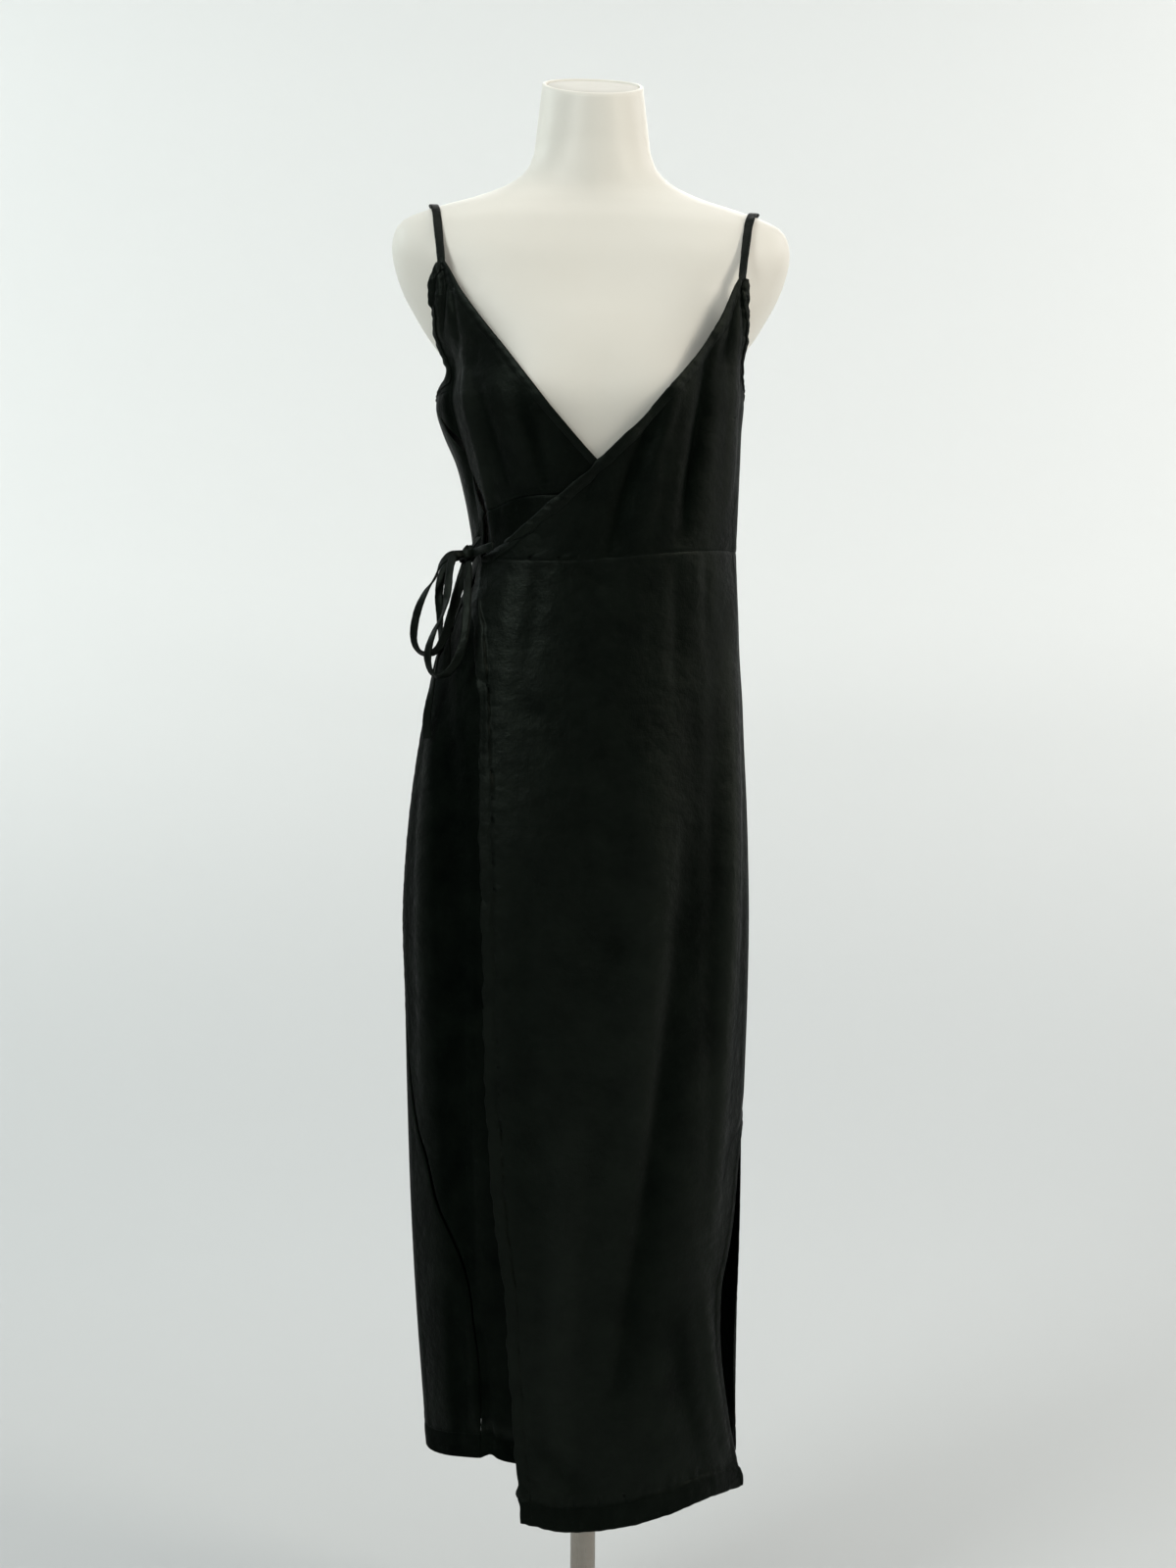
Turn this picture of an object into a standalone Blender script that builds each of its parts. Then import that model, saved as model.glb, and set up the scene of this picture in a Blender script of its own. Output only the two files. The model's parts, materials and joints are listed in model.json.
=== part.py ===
"""A sleeveless wrap dress worn by a limbless dress form on a steel pole and round base.

Metres, +Z up, front facing -Y.  The origin is the middle of the base's underside.
The cloth follows one closed surface, CLOTH, given by sections; a place on it is (turn, z),
where turn is the angle in degrees round the upright axis: 0 at the front, -90 at the wearer's
right side, +90 at the wearer's left side and -180 at the back.
"""

from collections import namedtuple
from math import atan2, cos, degrees, exp, pi, radians, sin, tan

import bpy
from mathutils import Vector

# ---------------------------------------------------------------- driving sizes
WALL = 0.0012  # cloth panels
SEAM_GAP = 0.0004  # between neighbouring pieces
OVERLAP_LIFT = 0.0040  # how far the outer wrap layer stands off the inner one
FREE_EDGE_LIFT = 0.0012  # and how much more it does along its free edge
NECK_BINDING_WIDTH = 0.009
ARM_BINDING_WIDTH = 0.0055
STRAP_WIDTH = 0.008
STRAP_THICKNESS = 0.0016
TIE_DIAMETER = 0.004
POLE_RADIUS = 0.0125
BASE_RADIUS = 0.170
BASE_EDGE = 0.008  # thickness of the base plate at its rim
HUB_RADIUS = 0.018  # the collar on the base that holds the pole
HUB_TOP = 0.034
SOCKET_RADIUS = 0.018  # the collar under the form
SOCKET_LENGTH = 0.030
SOCKET_FLANGE = 0.045
FORM_BOTTOM = 0.680
NECK_TOP = 1.6190
NECK_SLANT = radians(24)

# ---------------------------------------------------------------- tables
# Half widths to the wearer's right and left, depths to the front and back, and squareness
# (2 is an ellipse, more is boxier) of the cloth and of the form, from the top down.
ClothSection = namedtuple("ClothSection", "z right left front back square")
CLOTH = [
    ClothSection(1.470, 0.205, 0.205, 0.094, 0.088, 2.3),
    ClothSection(1.440, 0.204, 0.204, 0.103, 0.093, 2.3),
    ClothSection(1.410, 0.199, 0.199, 0.112, 0.097, 2.3),
    ClothSection(1.384, 0.187, 0.187, 0.121, 0.100, 2.3),
    ClothSection(1.354, 0.170, 0.169, 0.128, 0.101, 2.3),
    ClothSection(1.335, 0.157, 0.157, 0.132, 0.101, 2.3),
    ClothSection(1.315, 0.152, 0.152, 0.134, 0.100, 2.3),
    ClothSection(1.290, 0.154, 0.150, 0.135, 0.098, 2.3),
    ClothSection(1.266, 0.147, 0.148, 0.133, 0.096, 2.3),
    ClothSection(1.236, 0.134, 0.147, 0.129, 0.093, 2.35),
    ClothSection(1.207, 0.126, 0.146, 0.124, 0.091, 2.4),
    ClothSection(1.177, 0.120, 0.145, 0.119, 0.090, 2.45),
    ClothSection(1.147, 0.116, 0.144, 0.115, 0.090, 2.5),
    ClothSection(1.120, 0.121, 0.145, 0.114, 0.093, 2.5),
    ClothSection(1.085, 0.136, 0.147, 0.114, 0.099, 2.4),
    ClothSection(1.044, 0.152, 0.149, 0.115, 0.107, 2.3),
    ClothSection(1.000, 0.161, 0.152, 0.117, 0.115, 2.3),
    ClothSection(0.955, 0.169, 0.154, 0.119, 0.122, 2.3),
    ClothSection(0.896, 0.177, 0.157, 0.122, 0.130, 2.3),
    ClothSection(0.837, 0.182, 0.159, 0.124, 0.134, 2.3),
    ClothSection(0.778, 0.184, 0.160, 0.124, 0.134, 2.3),
    ClothSection(0.700, 0.181, 0.159, 0.123, 0.130, 2.3),
    ClothSection(0.600, 0.178, 0.156, 0.121, 0.124, 2.3),
    ClothSection(0.500, 0.174, 0.154, 0.119, 0.120, 2.3),
    ClothSection(0.400, 0.168, 0.152, 0.117, 0.116, 2.3),
    ClothSection(0.300, 0.160, 0.151, 0.115, 0.112, 2.3),
    ClothSection(0.180, 0.150, 0.151, 0.113, 0.110, 2.3),
]
FormSection = namedtuple("FormSection", "z half_width front back square")
FORM = [
    FormSection(1.5480, 0.0585, 0.058, 0.050, 2.1),
    FormSection(1.5290, 0.0670, 0.059, 0.054, 2.0),
    FormSection(1.5145, 0.0860, 0.060, 0.060, 1.75),
    FormSection(1.5020, 0.1180, 0.061, 0.064, 1.6),
    FormSection(1.4935, 0.1480, 0.063, 0.067, 1.65),
    FormSection(1.4830, 0.1780, 0.066, 0.069, 1.8),
    FormSection(1.4735, 0.1930, 0.070, 0.072, 2.0),
    FormSection(1.4570, 0.1995, 0.075, 0.076, 2.2),
    FormSection(1.4365, 0.1985, 0.081, 0.080, 2.4),
    FormSection(1.4080, 0.1895, 0.088, 0.084, 2.4),
    FormSection(1.3870, 0.1785, 0.094, 0.086, 2.4),
    FormSection(1.3660, 0.1660, 0.101, 0.088, 2.3),
    FormSection(1.3450, 0.1510, 0.107, 0.088, 2.3),
    FormSection(1.3200, 0.1380, 0.112, 0.087, 2.3),
    FormSection(1.2900, 0.1310, 0.115, 0.085, 2.3),
    FormSection(1.2600, 0.1260, 0.112, 0.083, 2.3),
    FormSection(1.2200, 0.1160, 0.106, 0.080, 2.3),
    FormSection(1.1800, 0.1070, 0.098, 0.078, 2.3),
    FormSection(1.1400, 0.1030, 0.094, 0.078, 2.3),
    FormSection(1.1000, 0.1100, 0.095, 0.083, 2.3),
    FormSection(1.0400, 0.1280, 0.099, 0.094, 2.3),
    FormSection(0.9800, 0.1400, 0.104, 0.106, 2.3),
    FormSection(0.9000, 0.1480, 0.108, 0.118, 2.3),
    FormSection(0.8200, 0.1500, 0.108, 0.122, 2.3),
    FormSection(0.7400, 0.1470, 0.104, 0.116, 2.3),
    FormSection(0.6940, 0.1420, 0.098, 0.108, 2.3),
    FormSection(FORM_BOTTOM, 0.1280, 0.084, 0.094, 2.3),
]
NECK = FormSection(NECK_TOP, 0.0505, 0.0590, 0.0430, 2.05)

# Largest folds: a soft trough (depth below 0) or ridge along a line that runs from x_top at
# z_top to x_bottom at z_bottom on the front (side 1) or on the back (side -1).  An inner fold
# is only in the layer next to the form; the outer wrap layer bridges it.
Fold = namedtuple("Fold", "layer side z_top z_bottom x_top x_bottom width depth")
FOLDS = [
    Fold("inner", 1, 1.330, 1.150, -0.137, -0.106, 0.012, 0.003),
    Fold("inner", 1, 1.325, 1.150, -0.151, -0.116, 0.010, -0.006),
    Fold("inner", 1, 1.090, 0.420, -0.141, -0.152, 0.013, -0.012),
    Fold("both", 1, 1.140, 0.500, 0.137, 0.116, 0.012, 0.003),
    Fold("both", 1, 0.900, 0.300, 0.088, 0.016, 0.022, -0.005),
    Fold("both", 1, 1.345, 1.190, 0.112, 0.076, 0.014, -0.003),
    Fold("both", 1, 1.300, 1.140, 0.062, 0.006, 0.018, -0.003),
    Fold("both", -1, 1.060, 0.300, -0.092, -0.100, 0.020, -0.007),
    Fold("both", -1, 0.980, 0.280, 0.020, 0.034, 0.022, -0.006),
    Fold("both", -1, 1.080, 0.320, 0.105, 0.096, 0.018, -0.007),
    Fold("both", -1, 1.300, 1.150, -0.060, -0.040, 0.014, -0.003),
    Fold("both", -1, 1.290, 1.150, 0.070, 0.050, 0.014, -0.003),
]

# Edges of the pieces as seen from the front: x across, z up.
EdgeRow = namedtuple("EdgeRow", "x z")
NECKLINE_LEFT = [
    EdgeRow(0.1370, 1.4090),
    EdgeRow(0.1283, 1.3950),
    EdgeRow(0.1119, 1.3640),
    EdgeRow(0.0898, 1.3329),
    EdgeRow(0.0633, 1.3020),
    EdgeRow(0.0360, 1.2729),
    EdgeRow(-0.0061, 1.2330),
    EdgeRow(-0.0361, 1.2076),
    EdgeRow(-0.0669, 1.1820),
    EdgeRow(-0.0994, 1.1525),
    EdgeRow(-0.1105, 1.1430),
]
NECKLINE_RIGHT = [
    EdgeRow(-0.1476, 1.4200),
    EdgeRow(-0.1391, 1.4047),
    EdgeRow(-0.1307, 1.3894),
    EdgeRow(-0.1092, 1.3589),
    EdgeRow(-0.0861, 1.3289),
    EdgeRow(-0.0641, 1.2996),
    EdgeRow(-0.0418, 1.2717),
    EdgeRow(-0.0061, 1.2330),
    EdgeRow(0.0240, 1.2080),
    EdgeRow(0.0400, 1.1960),
]
ARMHOLE_LEFT = [
    EdgeRow(0.1460, 1.4075),
    EdgeRow(0.1480, 1.3931),
    EdgeRow(0.1490, 1.3699),
    EdgeRow(0.1470, 1.3434),
    EdgeRow(0.1470, 1.3169),
]
ARMHOLE_RIGHT = [
    EdgeRow(-0.1560, 1.4190),
    EdgeRow(-0.1640, 1.4020),
    EdgeRow(-0.1644, 1.3849),
    EdgeRow(-0.1620, 1.3673),
    EdgeRow(-0.1545, 1.3414),
    EdgeRow(-0.1480, 1.3145),
]
WAIST_LEFT = [
    EdgeRow(-0.1070, 1.1330),
    EdgeRow(-0.0386, 1.1289),
    EdgeRow(0.0165, 1.1322),
    EdgeRow(0.0544, 1.1368),
    EdgeRow(0.1080, 1.1426),
    EdgeRow(0.1373, 1.1462),
]
WAIST_RIGHT = [
    EdgeRow(0.0400, 1.1900),
    EdgeRow(-0.0524, 1.1915),
    EdgeRow(-0.0780, 1.1890),
    EdgeRow(-0.0916, 1.1838),
    EdgeRow(-0.1030, 1.1790),
]
WRAP_EDGE = [
    EdgeRow(-0.1111, 1.1355),
    EdgeRow(-0.1205, 1.0968),
    EdgeRow(-0.1224, 1.0604),
    EdgeRow(-0.1210, 0.9585),
    EdgeRow(-0.1196, 0.8702),
    EdgeRow(-0.1153, 0.7674),
    EdgeRow(-0.1087, 0.6241),
    EdgeRow(-0.0966, 0.4932),
    EdgeRow(-0.0869, 0.4364),
    EdgeRow(-0.0807, 0.3614),
    EdgeRow(-0.0737, 0.2864),
    EdgeRow(-0.0656, 0.2105),
]
HEM_LEFT = [
    EdgeRow(-0.0656, 0.2105),
    EdgeRow(-0.0396, 0.2042),
    EdgeRow(-0.0098, 0.2026),
    EdgeRow(0.0354, 0.2070),
    EdgeRow(0.0739, 0.2150),
    EdgeRow(0.1143, 0.2238),
    EdgeRow(0.1490, 0.2190),
]
SLIT_EDGE = [
    EdgeRow(0.1500, 0.5600),
    EdgeRow(0.1408, 0.4833),
    EdgeRow(0.1340, 0.4507),
    EdgeRow(0.1285, 0.4262),
    EdgeRow(0.1281, 0.3656),
    EdgeRow(0.1359, 0.3058),
    EdgeRow(0.1445, 0.2494),
    EdgeRow(0.1490, 0.2190),
]
HEM_RIGHT = [
    EdgeRow(0.0740, 0.2640),
    EdgeRow(-0.0716, 0.2658),
    EdgeRow(-0.0874, 0.2682),
    EdgeRow(-0.0958, 0.2719),
    EdgeRow(-0.1050, 0.2674),
]
UNDERLAP_EDGE = [
    EdgeRow(0.0400, 1.1900),
    EdgeRow(0.0520, 0.9000),
    EdgeRow(0.0640, 0.6000),
    EdgeRow(0.0740, 0.2640),
]
SIDE_SEAM_BOTTOM = [
    EdgeRow(-0.1766, 0.6334),
    EdgeRow(-0.1704, 0.5854),
    EdgeRow(-0.1605, 0.5496),
    EdgeRow(-0.1508, 0.5095),
    EdgeRow(-0.1355, 0.4740),
    EdgeRow(-0.1240, 0.4442),
    EdgeRow(-0.1163, 0.4110),
    EdgeRow(-0.1084, 0.3398),
    EdgeRow(-0.1050, 0.2674),
]
WAIST_SIDE = 1.148  # the waist seam at the wearer's left side
# Places given by their turn round the axis.
Place = namedtuple("Place", "turn z")
BACK_TOP = [
    Place(-90, 1.300),
    Place(-112, 1.318),
    Place(-138, 1.340),
    Place(-160, 1.330),
    Place(-180, 1.324),
    Place(-200, 1.330),
    Place(-222, 1.340),
    Place(-248, 1.318),
    Place(-270, 1.300),
]
SIDE_SEAM_TOP = [
    Place(-90, 1.300),
    Place(-78, 1.260),
    Place(-66, 1.210),
    Place(-59, 1.179),
]
SIDE_SEAM_MIDDLE = [
    Place(-59, 1.179),
    Place(-64, 1.140),
    Place(-77, 1.080),
    Place(-88, 1.020),
    Place(-95, 0.900),
    Place(-93, 0.760),
]
WAIST_BACK = [
    Place(-59, 1.179),
    Place(-75, 1.160),
    Place(-100, 1.152),
    Place(-180, 1.152),
    Place(-270, 1.148),
]
HEM_BACK = [
    Place(-75, 0.2600),
    Place(-100, 0.2560),
    Place(-180, 0.2520),
    Place(-280, 0.2520),
]
SLIT_BACK = [
    Place(-270, WAIST_SIDE),
    Place(-270, 0.950),
    Place(-270, 0.750),
    Place(-270, 0.620),
    Place(-277, 0.490),
    Place(-286, 0.396),
    Place(-287, 0.339),
    Place(-282, 0.275),
    Place(-280, 0.252),
]

TORSO_COLOUR = (0.86, 0.84, 0.79)
CAP_COLOUR = (0.62, 0.60, 0.55)
CLOTH_COLOUR = (0.012, 0.014, 0.014)
STEEL_COLOUR = (0.55, 0.53, 0.50)


# ---------------------------------------------------------------- reading the tables
def smooth(keys, values, at):
    """The value at `at` on a smooth curve through a table with rising keys."""
    at = min(max(at, keys[0]), keys[-1])
    i = 0
    while i < len(keys) - 2 and at > keys[i + 1]:
        i += 1

    def slope(k):
        low = max(k - 1, 0)
        high = min(k + 1, len(keys) - 1)
        return (values[high] - values[low]) / (keys[high] - keys[low])

    span = keys[i + 1] - keys[i]
    u = (at - keys[i]) / span
    start = values[i] * (1 + 2 * u) * (1 - u) ** 2 + slope(i) * span * u * (1 - u) ** 2
    end = values[i + 1] * u * u * (3 - 2 * u) + slope(i + 1) * span * u * u * (u - 1)
    return start + end


def section_at(table, z):
    """A section of the table's kind at height z."""
    rising = table[::-1]
    keys = [row.z for row in rising]
    rest = [smooth(keys, [row[k] for row in rising], z) for k in range(1, len(table[0]))]
    return type(table[0])(z, *rest)


def radius(turn, right, left, front, back, square):
    """Distance from the axis to a rounded-box outline at this turn."""
    across = sin(radians(turn))
    ahead = cos(radians(turn))
    wide = left if across > 0 else right
    deep = front if ahead > 0 else back
    return (abs(across / wide) ** square + abs(ahead / deep) ** square) ** (-1 / square)


def turn_at(x, z):
    """The turn of the front of the cloth where it is x across."""
    row = section_at(CLOTH, z)
    wide = row.left if x > 0 else row.right
    share = min(abs(x) / wide, 1)
    ahead = row.front * (1 - share**row.square) ** (1 / row.square)
    return degrees(atan2(x, ahead))


def places(rows):
    """(turn, z) pairs from a table of edge rows or of places."""
    return [(row.turn, row.z) if isinstance(row, Place) else (turn_at(*row), row.z) for row in rows]


# ---------------------------------------------------------------- the cloth's surface
def fold_depth(point, z, outer):
    """How far the folds move this layer of the cloth in or out here."""
    total = 0
    for fold in FOLDS:
        if outer and fold.layer == "inner":
            continue
        if fold.z_bottom < z < fold.z_top and point.y * fold.side < 0:
            share = (fold.z_top - z) / (fold.z_top - fold.z_bottom)
            line = fold.x_top + share * (fold.x_bottom - fold.x_top)
            across = (point.x - line) / fold.width
            total += fold.depth * sin(pi * share) ** 0.7 * exp(-across * across)
    return total


def cloth_point(turn, z, outer=False):
    row = section_at(CLOTH, z)
    r = radius(turn, row.right, row.left, row.front, row.back, row.square)
    plain = Vector((r * sin(radians(turn)), -r * cos(radians(turn)), z))
    outward = Vector((plain.x, plain.y, 0)).normalized()
    return plain + outward * fold_depth(plain, z, outer)


def cloth_normal(turn, z, outer=False):
    across = cloth_point(turn + 1, z, outer) - cloth_point(turn - 1, z, outer)
    up = cloth_point(turn, z + 0.003, outer) - cloth_point(turn, z - 0.003, outer)
    return across.cross(up).normalized()


def lifted(turn, z, lift, outer=False):
    return cloth_point(turn, z, outer) + cloth_normal(turn, z, outer) * lift


# ---------------------------------------------------------------- paths and patches on it
MEAN_RADIUS = 0.14  # of the cloth, for turning an angle into a width
LEAST_WIDTH = 0.005  # a corner where two edges meet counts as this wide


def flat_length(a, b):
    """Rough distance between two places on the cloth."""
    return ((radians(a[0] - b[0]) * MEAN_RADIUS) ** 2 + (a[1] - b[1]) ** 2) ** 0.5


def path(points):
    """A function from 0..1 to (turn, z) along a smooth line through the places."""
    marks = [0.0]
    for a, b in zip(points, points[1:]):
        marks.append(marks[-1] + flat_length(a, b))

    def at(u):
        distance = u * marks[-1]
        return tuple(smooth(marks, [p[k] for p in points], distance) for k in (0, 1))

    at.length = marks[-1]
    return at


def patch(left, right, top, bottom):
    """A function from (s, t) to (turn, z) that fills in four edges; s runs left to right."""
    corners = [Vector(left(0)), Vector(right(0)), Vector(left(1)), Vector(right(1))]

    def at(s, t):
        sides = (1 - s) * Vector(left(t)) + s * Vector(right(t))
        ends = (1 - t) * Vector(top(s)) + t * Vector(bottom(s))
        upper = (1 - s) * corners[0] + s * corners[1]
        lower = (1 - s) * corners[2] + s * corners[3]
        return tuple(sides + ends - (1 - t) * upper - t * lower)

    at.width = max(flat_length(left(0.5), right(0.5)), LEAST_WIDTH)
    at.height = max(flat_length(top(0.5), bottom(0.5)), LEAST_WIDTH)
    return at


# ---------------------------------------------------------------- solids
def material(name, colour, roughness, metallic=0.0):
    made = bpy.data.materials.new(name)
    made.use_nodes = True
    made.diffuse_color = (*colour, 1)
    shader = made.node_tree.nodes["Principled BSDF"]
    shader.inputs["Base Color"].default_value = (*colour, 1)
    shader.inputs["Roughness"].default_value = roughness
    shader.inputs["Metallic"].default_value = metallic
    return made


def add_mesh(name, points, faces, finish):
    mesh = bpy.data.meshes.new(name)
    mesh.from_pydata([tuple(p) for p in points], [], faces)
    mesh.materials.append(finish)
    mesh.shade_smooth()
    mesh.set_sharp_from_angle(angle=radians(40))
    added = bpy.data.objects.new(name, mesh)
    bpy.context.scene.collection.objects.link(added)
    return added


def even(count):
    """Marks that divide an edge evenly; the same for every row."""
    marks = [i / count for i in range(count + 1)]
    return lambda t: marks


def banded(area, count, first=0.0, last=0.0):
    """Marks with a band of this width kept free along the left or right edge."""

    def marks(t):
        width = flat_length(area(0, t), area(1, t))
        low = min(first / width, 0.45)
        high = 1 - min(last / width, 0.45)
        inner = [low + (high - low) * i / count for i in range(count + 1)]
        return ([0.0] if first else []) + inner + ([1.0] if last else [])

    return marks


def grid(area, across, down, lift):
    """Rows of (turn, z, lift) over the area, half a seam gap inside its edges."""
    inset_s = SEAM_GAP / 2 / area.width
    inset_t = SEAM_GAP / 2 / area.height
    rows = []
    for t in down:
        row = []
        for s in across(t):
            turn, z = area(inset_s + (1 - 2 * inset_s) * s, inset_t + (1 - 2 * inset_t) * t)
            row.append((turn, z, lift(s) if callable(lift) else lift))
        rows.append(row)
    return rows


def wall(name, rows, thickness, finish, raised=0.0):
    """A cloth piece: the grid's inner and outer faces joined by a rim."""
    places_on = [place for row in rows for place in row]
    on_top = places_on[0][2] > 0
    inner = [lifted(turn, z, lift + raised, on_top) for turn, z, lift in places_on]
    outer = [lifted(turn, z, lift + raised + thickness, on_top) for turn, z, lift in places_on]
    across = len(rows[0])
    last = len(rows) - 1
    count = len(inner)
    faces = []
    for j in range(last):
        for i in range(across - 1):
            a = j * across + i
            faces.append((a, a + across, a + across + 1, a + 1))
            faces.append((count + a, count + a + 1, count + a + across + 1, count + a + across))
    rim = list(range(across))
    rim += [j * across + across - 1 for j in range(1, last + 1)]
    rim += [last * across + i for i in range(across - 2, -1, -1)]
    rim += [j * across for j in range(last - 1, 0, -1)]
    for a, b in zip(rim, rim[1:] + rim[:1]):
        faces.append((a, b, count + b, count + a))
    return add_mesh(name, outer + inner, faces, finish)


def loft(name, rings, finish):
    """A closed solid through rings of equal length, from the bottom up."""
    sides = len(rings[0])
    points = [p for ring in rings for p in ring]
    faces = [tuple(reversed(range(sides)))]
    for k in range(len(rings) - 1):
        for i in range(sides):
            a = k * sides + i
            b = k * sides + (i + 1) % sides
            faces.append((a, b, b + sides, a + sides))
    last = (len(rings) - 1) * sides
    faces.append(tuple(range(last, last + sides)))
    return add_mesh(name, points, faces, finish)


TurnedRow = namedtuple("TurnedRow", "radius z")


def turned(name, rows, finish, sides=32):
    """A solid turned on the upright axis from rows that run from the bottom up."""
    rings = []
    for row in rows:
        angles = [2 * pi * i / sides for i in range(sides)]
        rings.append([Vector((row.radius * cos(a), row.radius * sin(a), row.z)) for a in angles])
    return loft(name, rings, finish)


def ribbon(name, centres, normals, width, thickness, finish):
    """A flat strip swept along its centres, closed at both ends."""
    points = []
    for i, centre in enumerate(centres):
        ahead = centres[min(i + 1, len(centres) - 1)] - centres[max(i - 1, 0)]
        side = ahead.cross(normals[i]).normalized() * width / 2
        out = side.cross(ahead).normalized() * thickness / 2
        points += [centre - side - out, centre + side - out, centre + side + out, centre - side + out]
    faces = [(0, 1, 2, 3)]
    for k in range(len(centres) - 1):
        for i in range(4):
            a = 4 * k + i
            b = 4 * k + (i + 1) % 4
            faces.append((a, a + 4, b + 4, b))
    last = len(points) - 4
    faces.append((last + 3, last + 2, last + 1, last))
    return add_mesh(name, points, faces, finish)


# ---------------------------------------------------------------- the dress form
BUST_HEIGHT = 1.287
BUST_SIDE = 0.072
BUST_SPREAD = 0.040
BUST_RISE = 0.010
FORM_SIDES = 32
NECK_RIM = 0.93  # inner size of the rim at the neck's cut, as a share of the outer
NECK_RECESS = 0.004
NECK_CAP_THICKNESS = 0.003
NECK_RINGS = (0.35, 0.7, 1.0)


def form_radius(turn, z):
    """The form's outline at this height, with a low round rise on each side of the chest."""
    row = section_at(FORM, z)
    r = radius(turn, row.half_width, row.half_width, row.front, row.back, row.square)
    x = r * sin(radians(turn))
    ahead = cos(radians(turn))
    if ahead <= 0:
        return r
    away = ((abs(x) - BUST_SIDE) / BUST_SPREAD) ** 2 + ((z - BUST_HEIGHT) / BUST_SPREAD) ** 2
    return r + BUST_RISE * exp(-away) * ahead


def form_point(turn, z):
    r = form_radius(turn, z)
    return Vector((r * sin(radians(turn)), -r * cos(radians(turn)), z))


def neck_point(turn, share, scale=1.0, drop=0.0):
    """A place on the neck, from its foot (share 0) to its slanted cut (share 1)."""
    foot = FORM[0]
    size = [foot[k] + (NECK[k] - foot[k]) * share for k in range(5)]
    r = radius(turn, size[1], size[1], size[2], size[3], size[4]) * scale
    y = -r * cos(radians(turn))
    cut = NECK_TOP - drop + y * tan(NECK_SLANT)
    return Vector((r * sin(radians(turn)), y, foot.z + (cut - foot.z) * share))


def build_form(plastic, cap_finish):
    turns = [360 * i / FORM_SIDES for i in range(FORM_SIDES)]
    heights = [row.z for row in FORM[::-1]]
    rings = [[form_point(turn, z) for turn in turns] for z in heights]
    for share in NECK_RINGS:
        rings.append([neck_point(turn, share) for turn in turns])
    rings.append([neck_point(turn, 1.0, NECK_RIM) for turn in turns])
    rings.append([neck_point(turn, 1.0, NECK_RIM, NECK_RECESS) for turn in turns])
    loft("form_torso", rings, plastic)
    cap = NECK_RIM - 2 * SEAM_GAP / NECK.half_width
    under = NECK_RECESS - SEAM_GAP
    cap_rings = [
        [neck_point(turn, 1.0, cap, under) for turn in turns],
        [neck_point(turn, 1.0, cap, under - NECK_CAP_THICKNESS) for turn in turns],
    ]
    loft("form_neck_cap", cap_rings, cap_finish)


def build_stand(steel):
    """The collar under the form, the pole and the domed round base."""
    socket_bottom = FORM_BOTTOM - SOCKET_LENGTH
    turned(
        "form_socket",
        [
            TurnedRow(SOCKET_RADIUS, socket_bottom),
            TurnedRow(SOCKET_RADIUS + 0.002, FORM_BOTTOM - 0.008),
            TurnedRow(SOCKET_FLANGE, FORM_BOTTOM - 0.006),
            TurnedRow(SOCKET_FLANGE, FORM_BOTTOM - SEAM_GAP),
        ],
        steel,
    )
    turned(
        "form_pole",
        [TurnedRow(POLE_RADIUS, HUB_TOP + SEAM_GAP), TurnedRow(POLE_RADIUS, socket_bottom - SEAM_GAP)],
        steel,
        sides=24,
    )
    turned(
        "form_base",
        [
            TurnedRow(BASE_RADIUS, 0.0),
            TurnedRow(BASE_RADIUS, BASE_EDGE - 0.002),
            TurnedRow(BASE_RADIUS - 0.003, BASE_EDGE),
            TurnedRow(HUB_RADIUS + 0.012, BASE_EDGE + 0.004),
            TurnedRow(HUB_RADIUS + 0.003, BASE_EDGE + 0.006),
            TurnedRow(HUB_RADIUS + 0.001, HUB_TOP - 0.001),
            TurnedRow(HUB_RADIUS, HUB_TOP),
        ],
        steel,
        sides=48,
    )


# ---------------------------------------------------------------- the dress
ARM_ROWS = 8
SEAM_ROWS = 6
SKIRT_ROWS = 16
UNDERARM = 1.300
LEFT_SIDE = 89.7  # the turn of the wearer's left side seam on the front pieces
SETTLE_SHARE = 0.25  # the last share of the outer layer's width, where it comes down
LIFT_SHARE = 0.30  # the first share of its width, where its free edge stands off


def outer_lift(s):
    """Lift of the outer wrap layer, which comes down to the cloth at the left side seam."""
    settled = OVERLAP_LIFT * min((1 - s) / SETTLE_SHARE, 1) ** 0.8
    return settled + FREE_EDGE_LIFT * max(1 - s / LIFT_SHARE, 0)


def joined(first, second):
    """One edge made of two paths: ARM_ROWS steps along the first, SEAM_ROWS along the second."""
    bend = ARM_ROWS / (ARM_ROWS + SEAM_ROWS)

    def at(u):
        return first(u / bend) if u < bend else second((u - bend) / (1 - bend))

    return at


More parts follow.
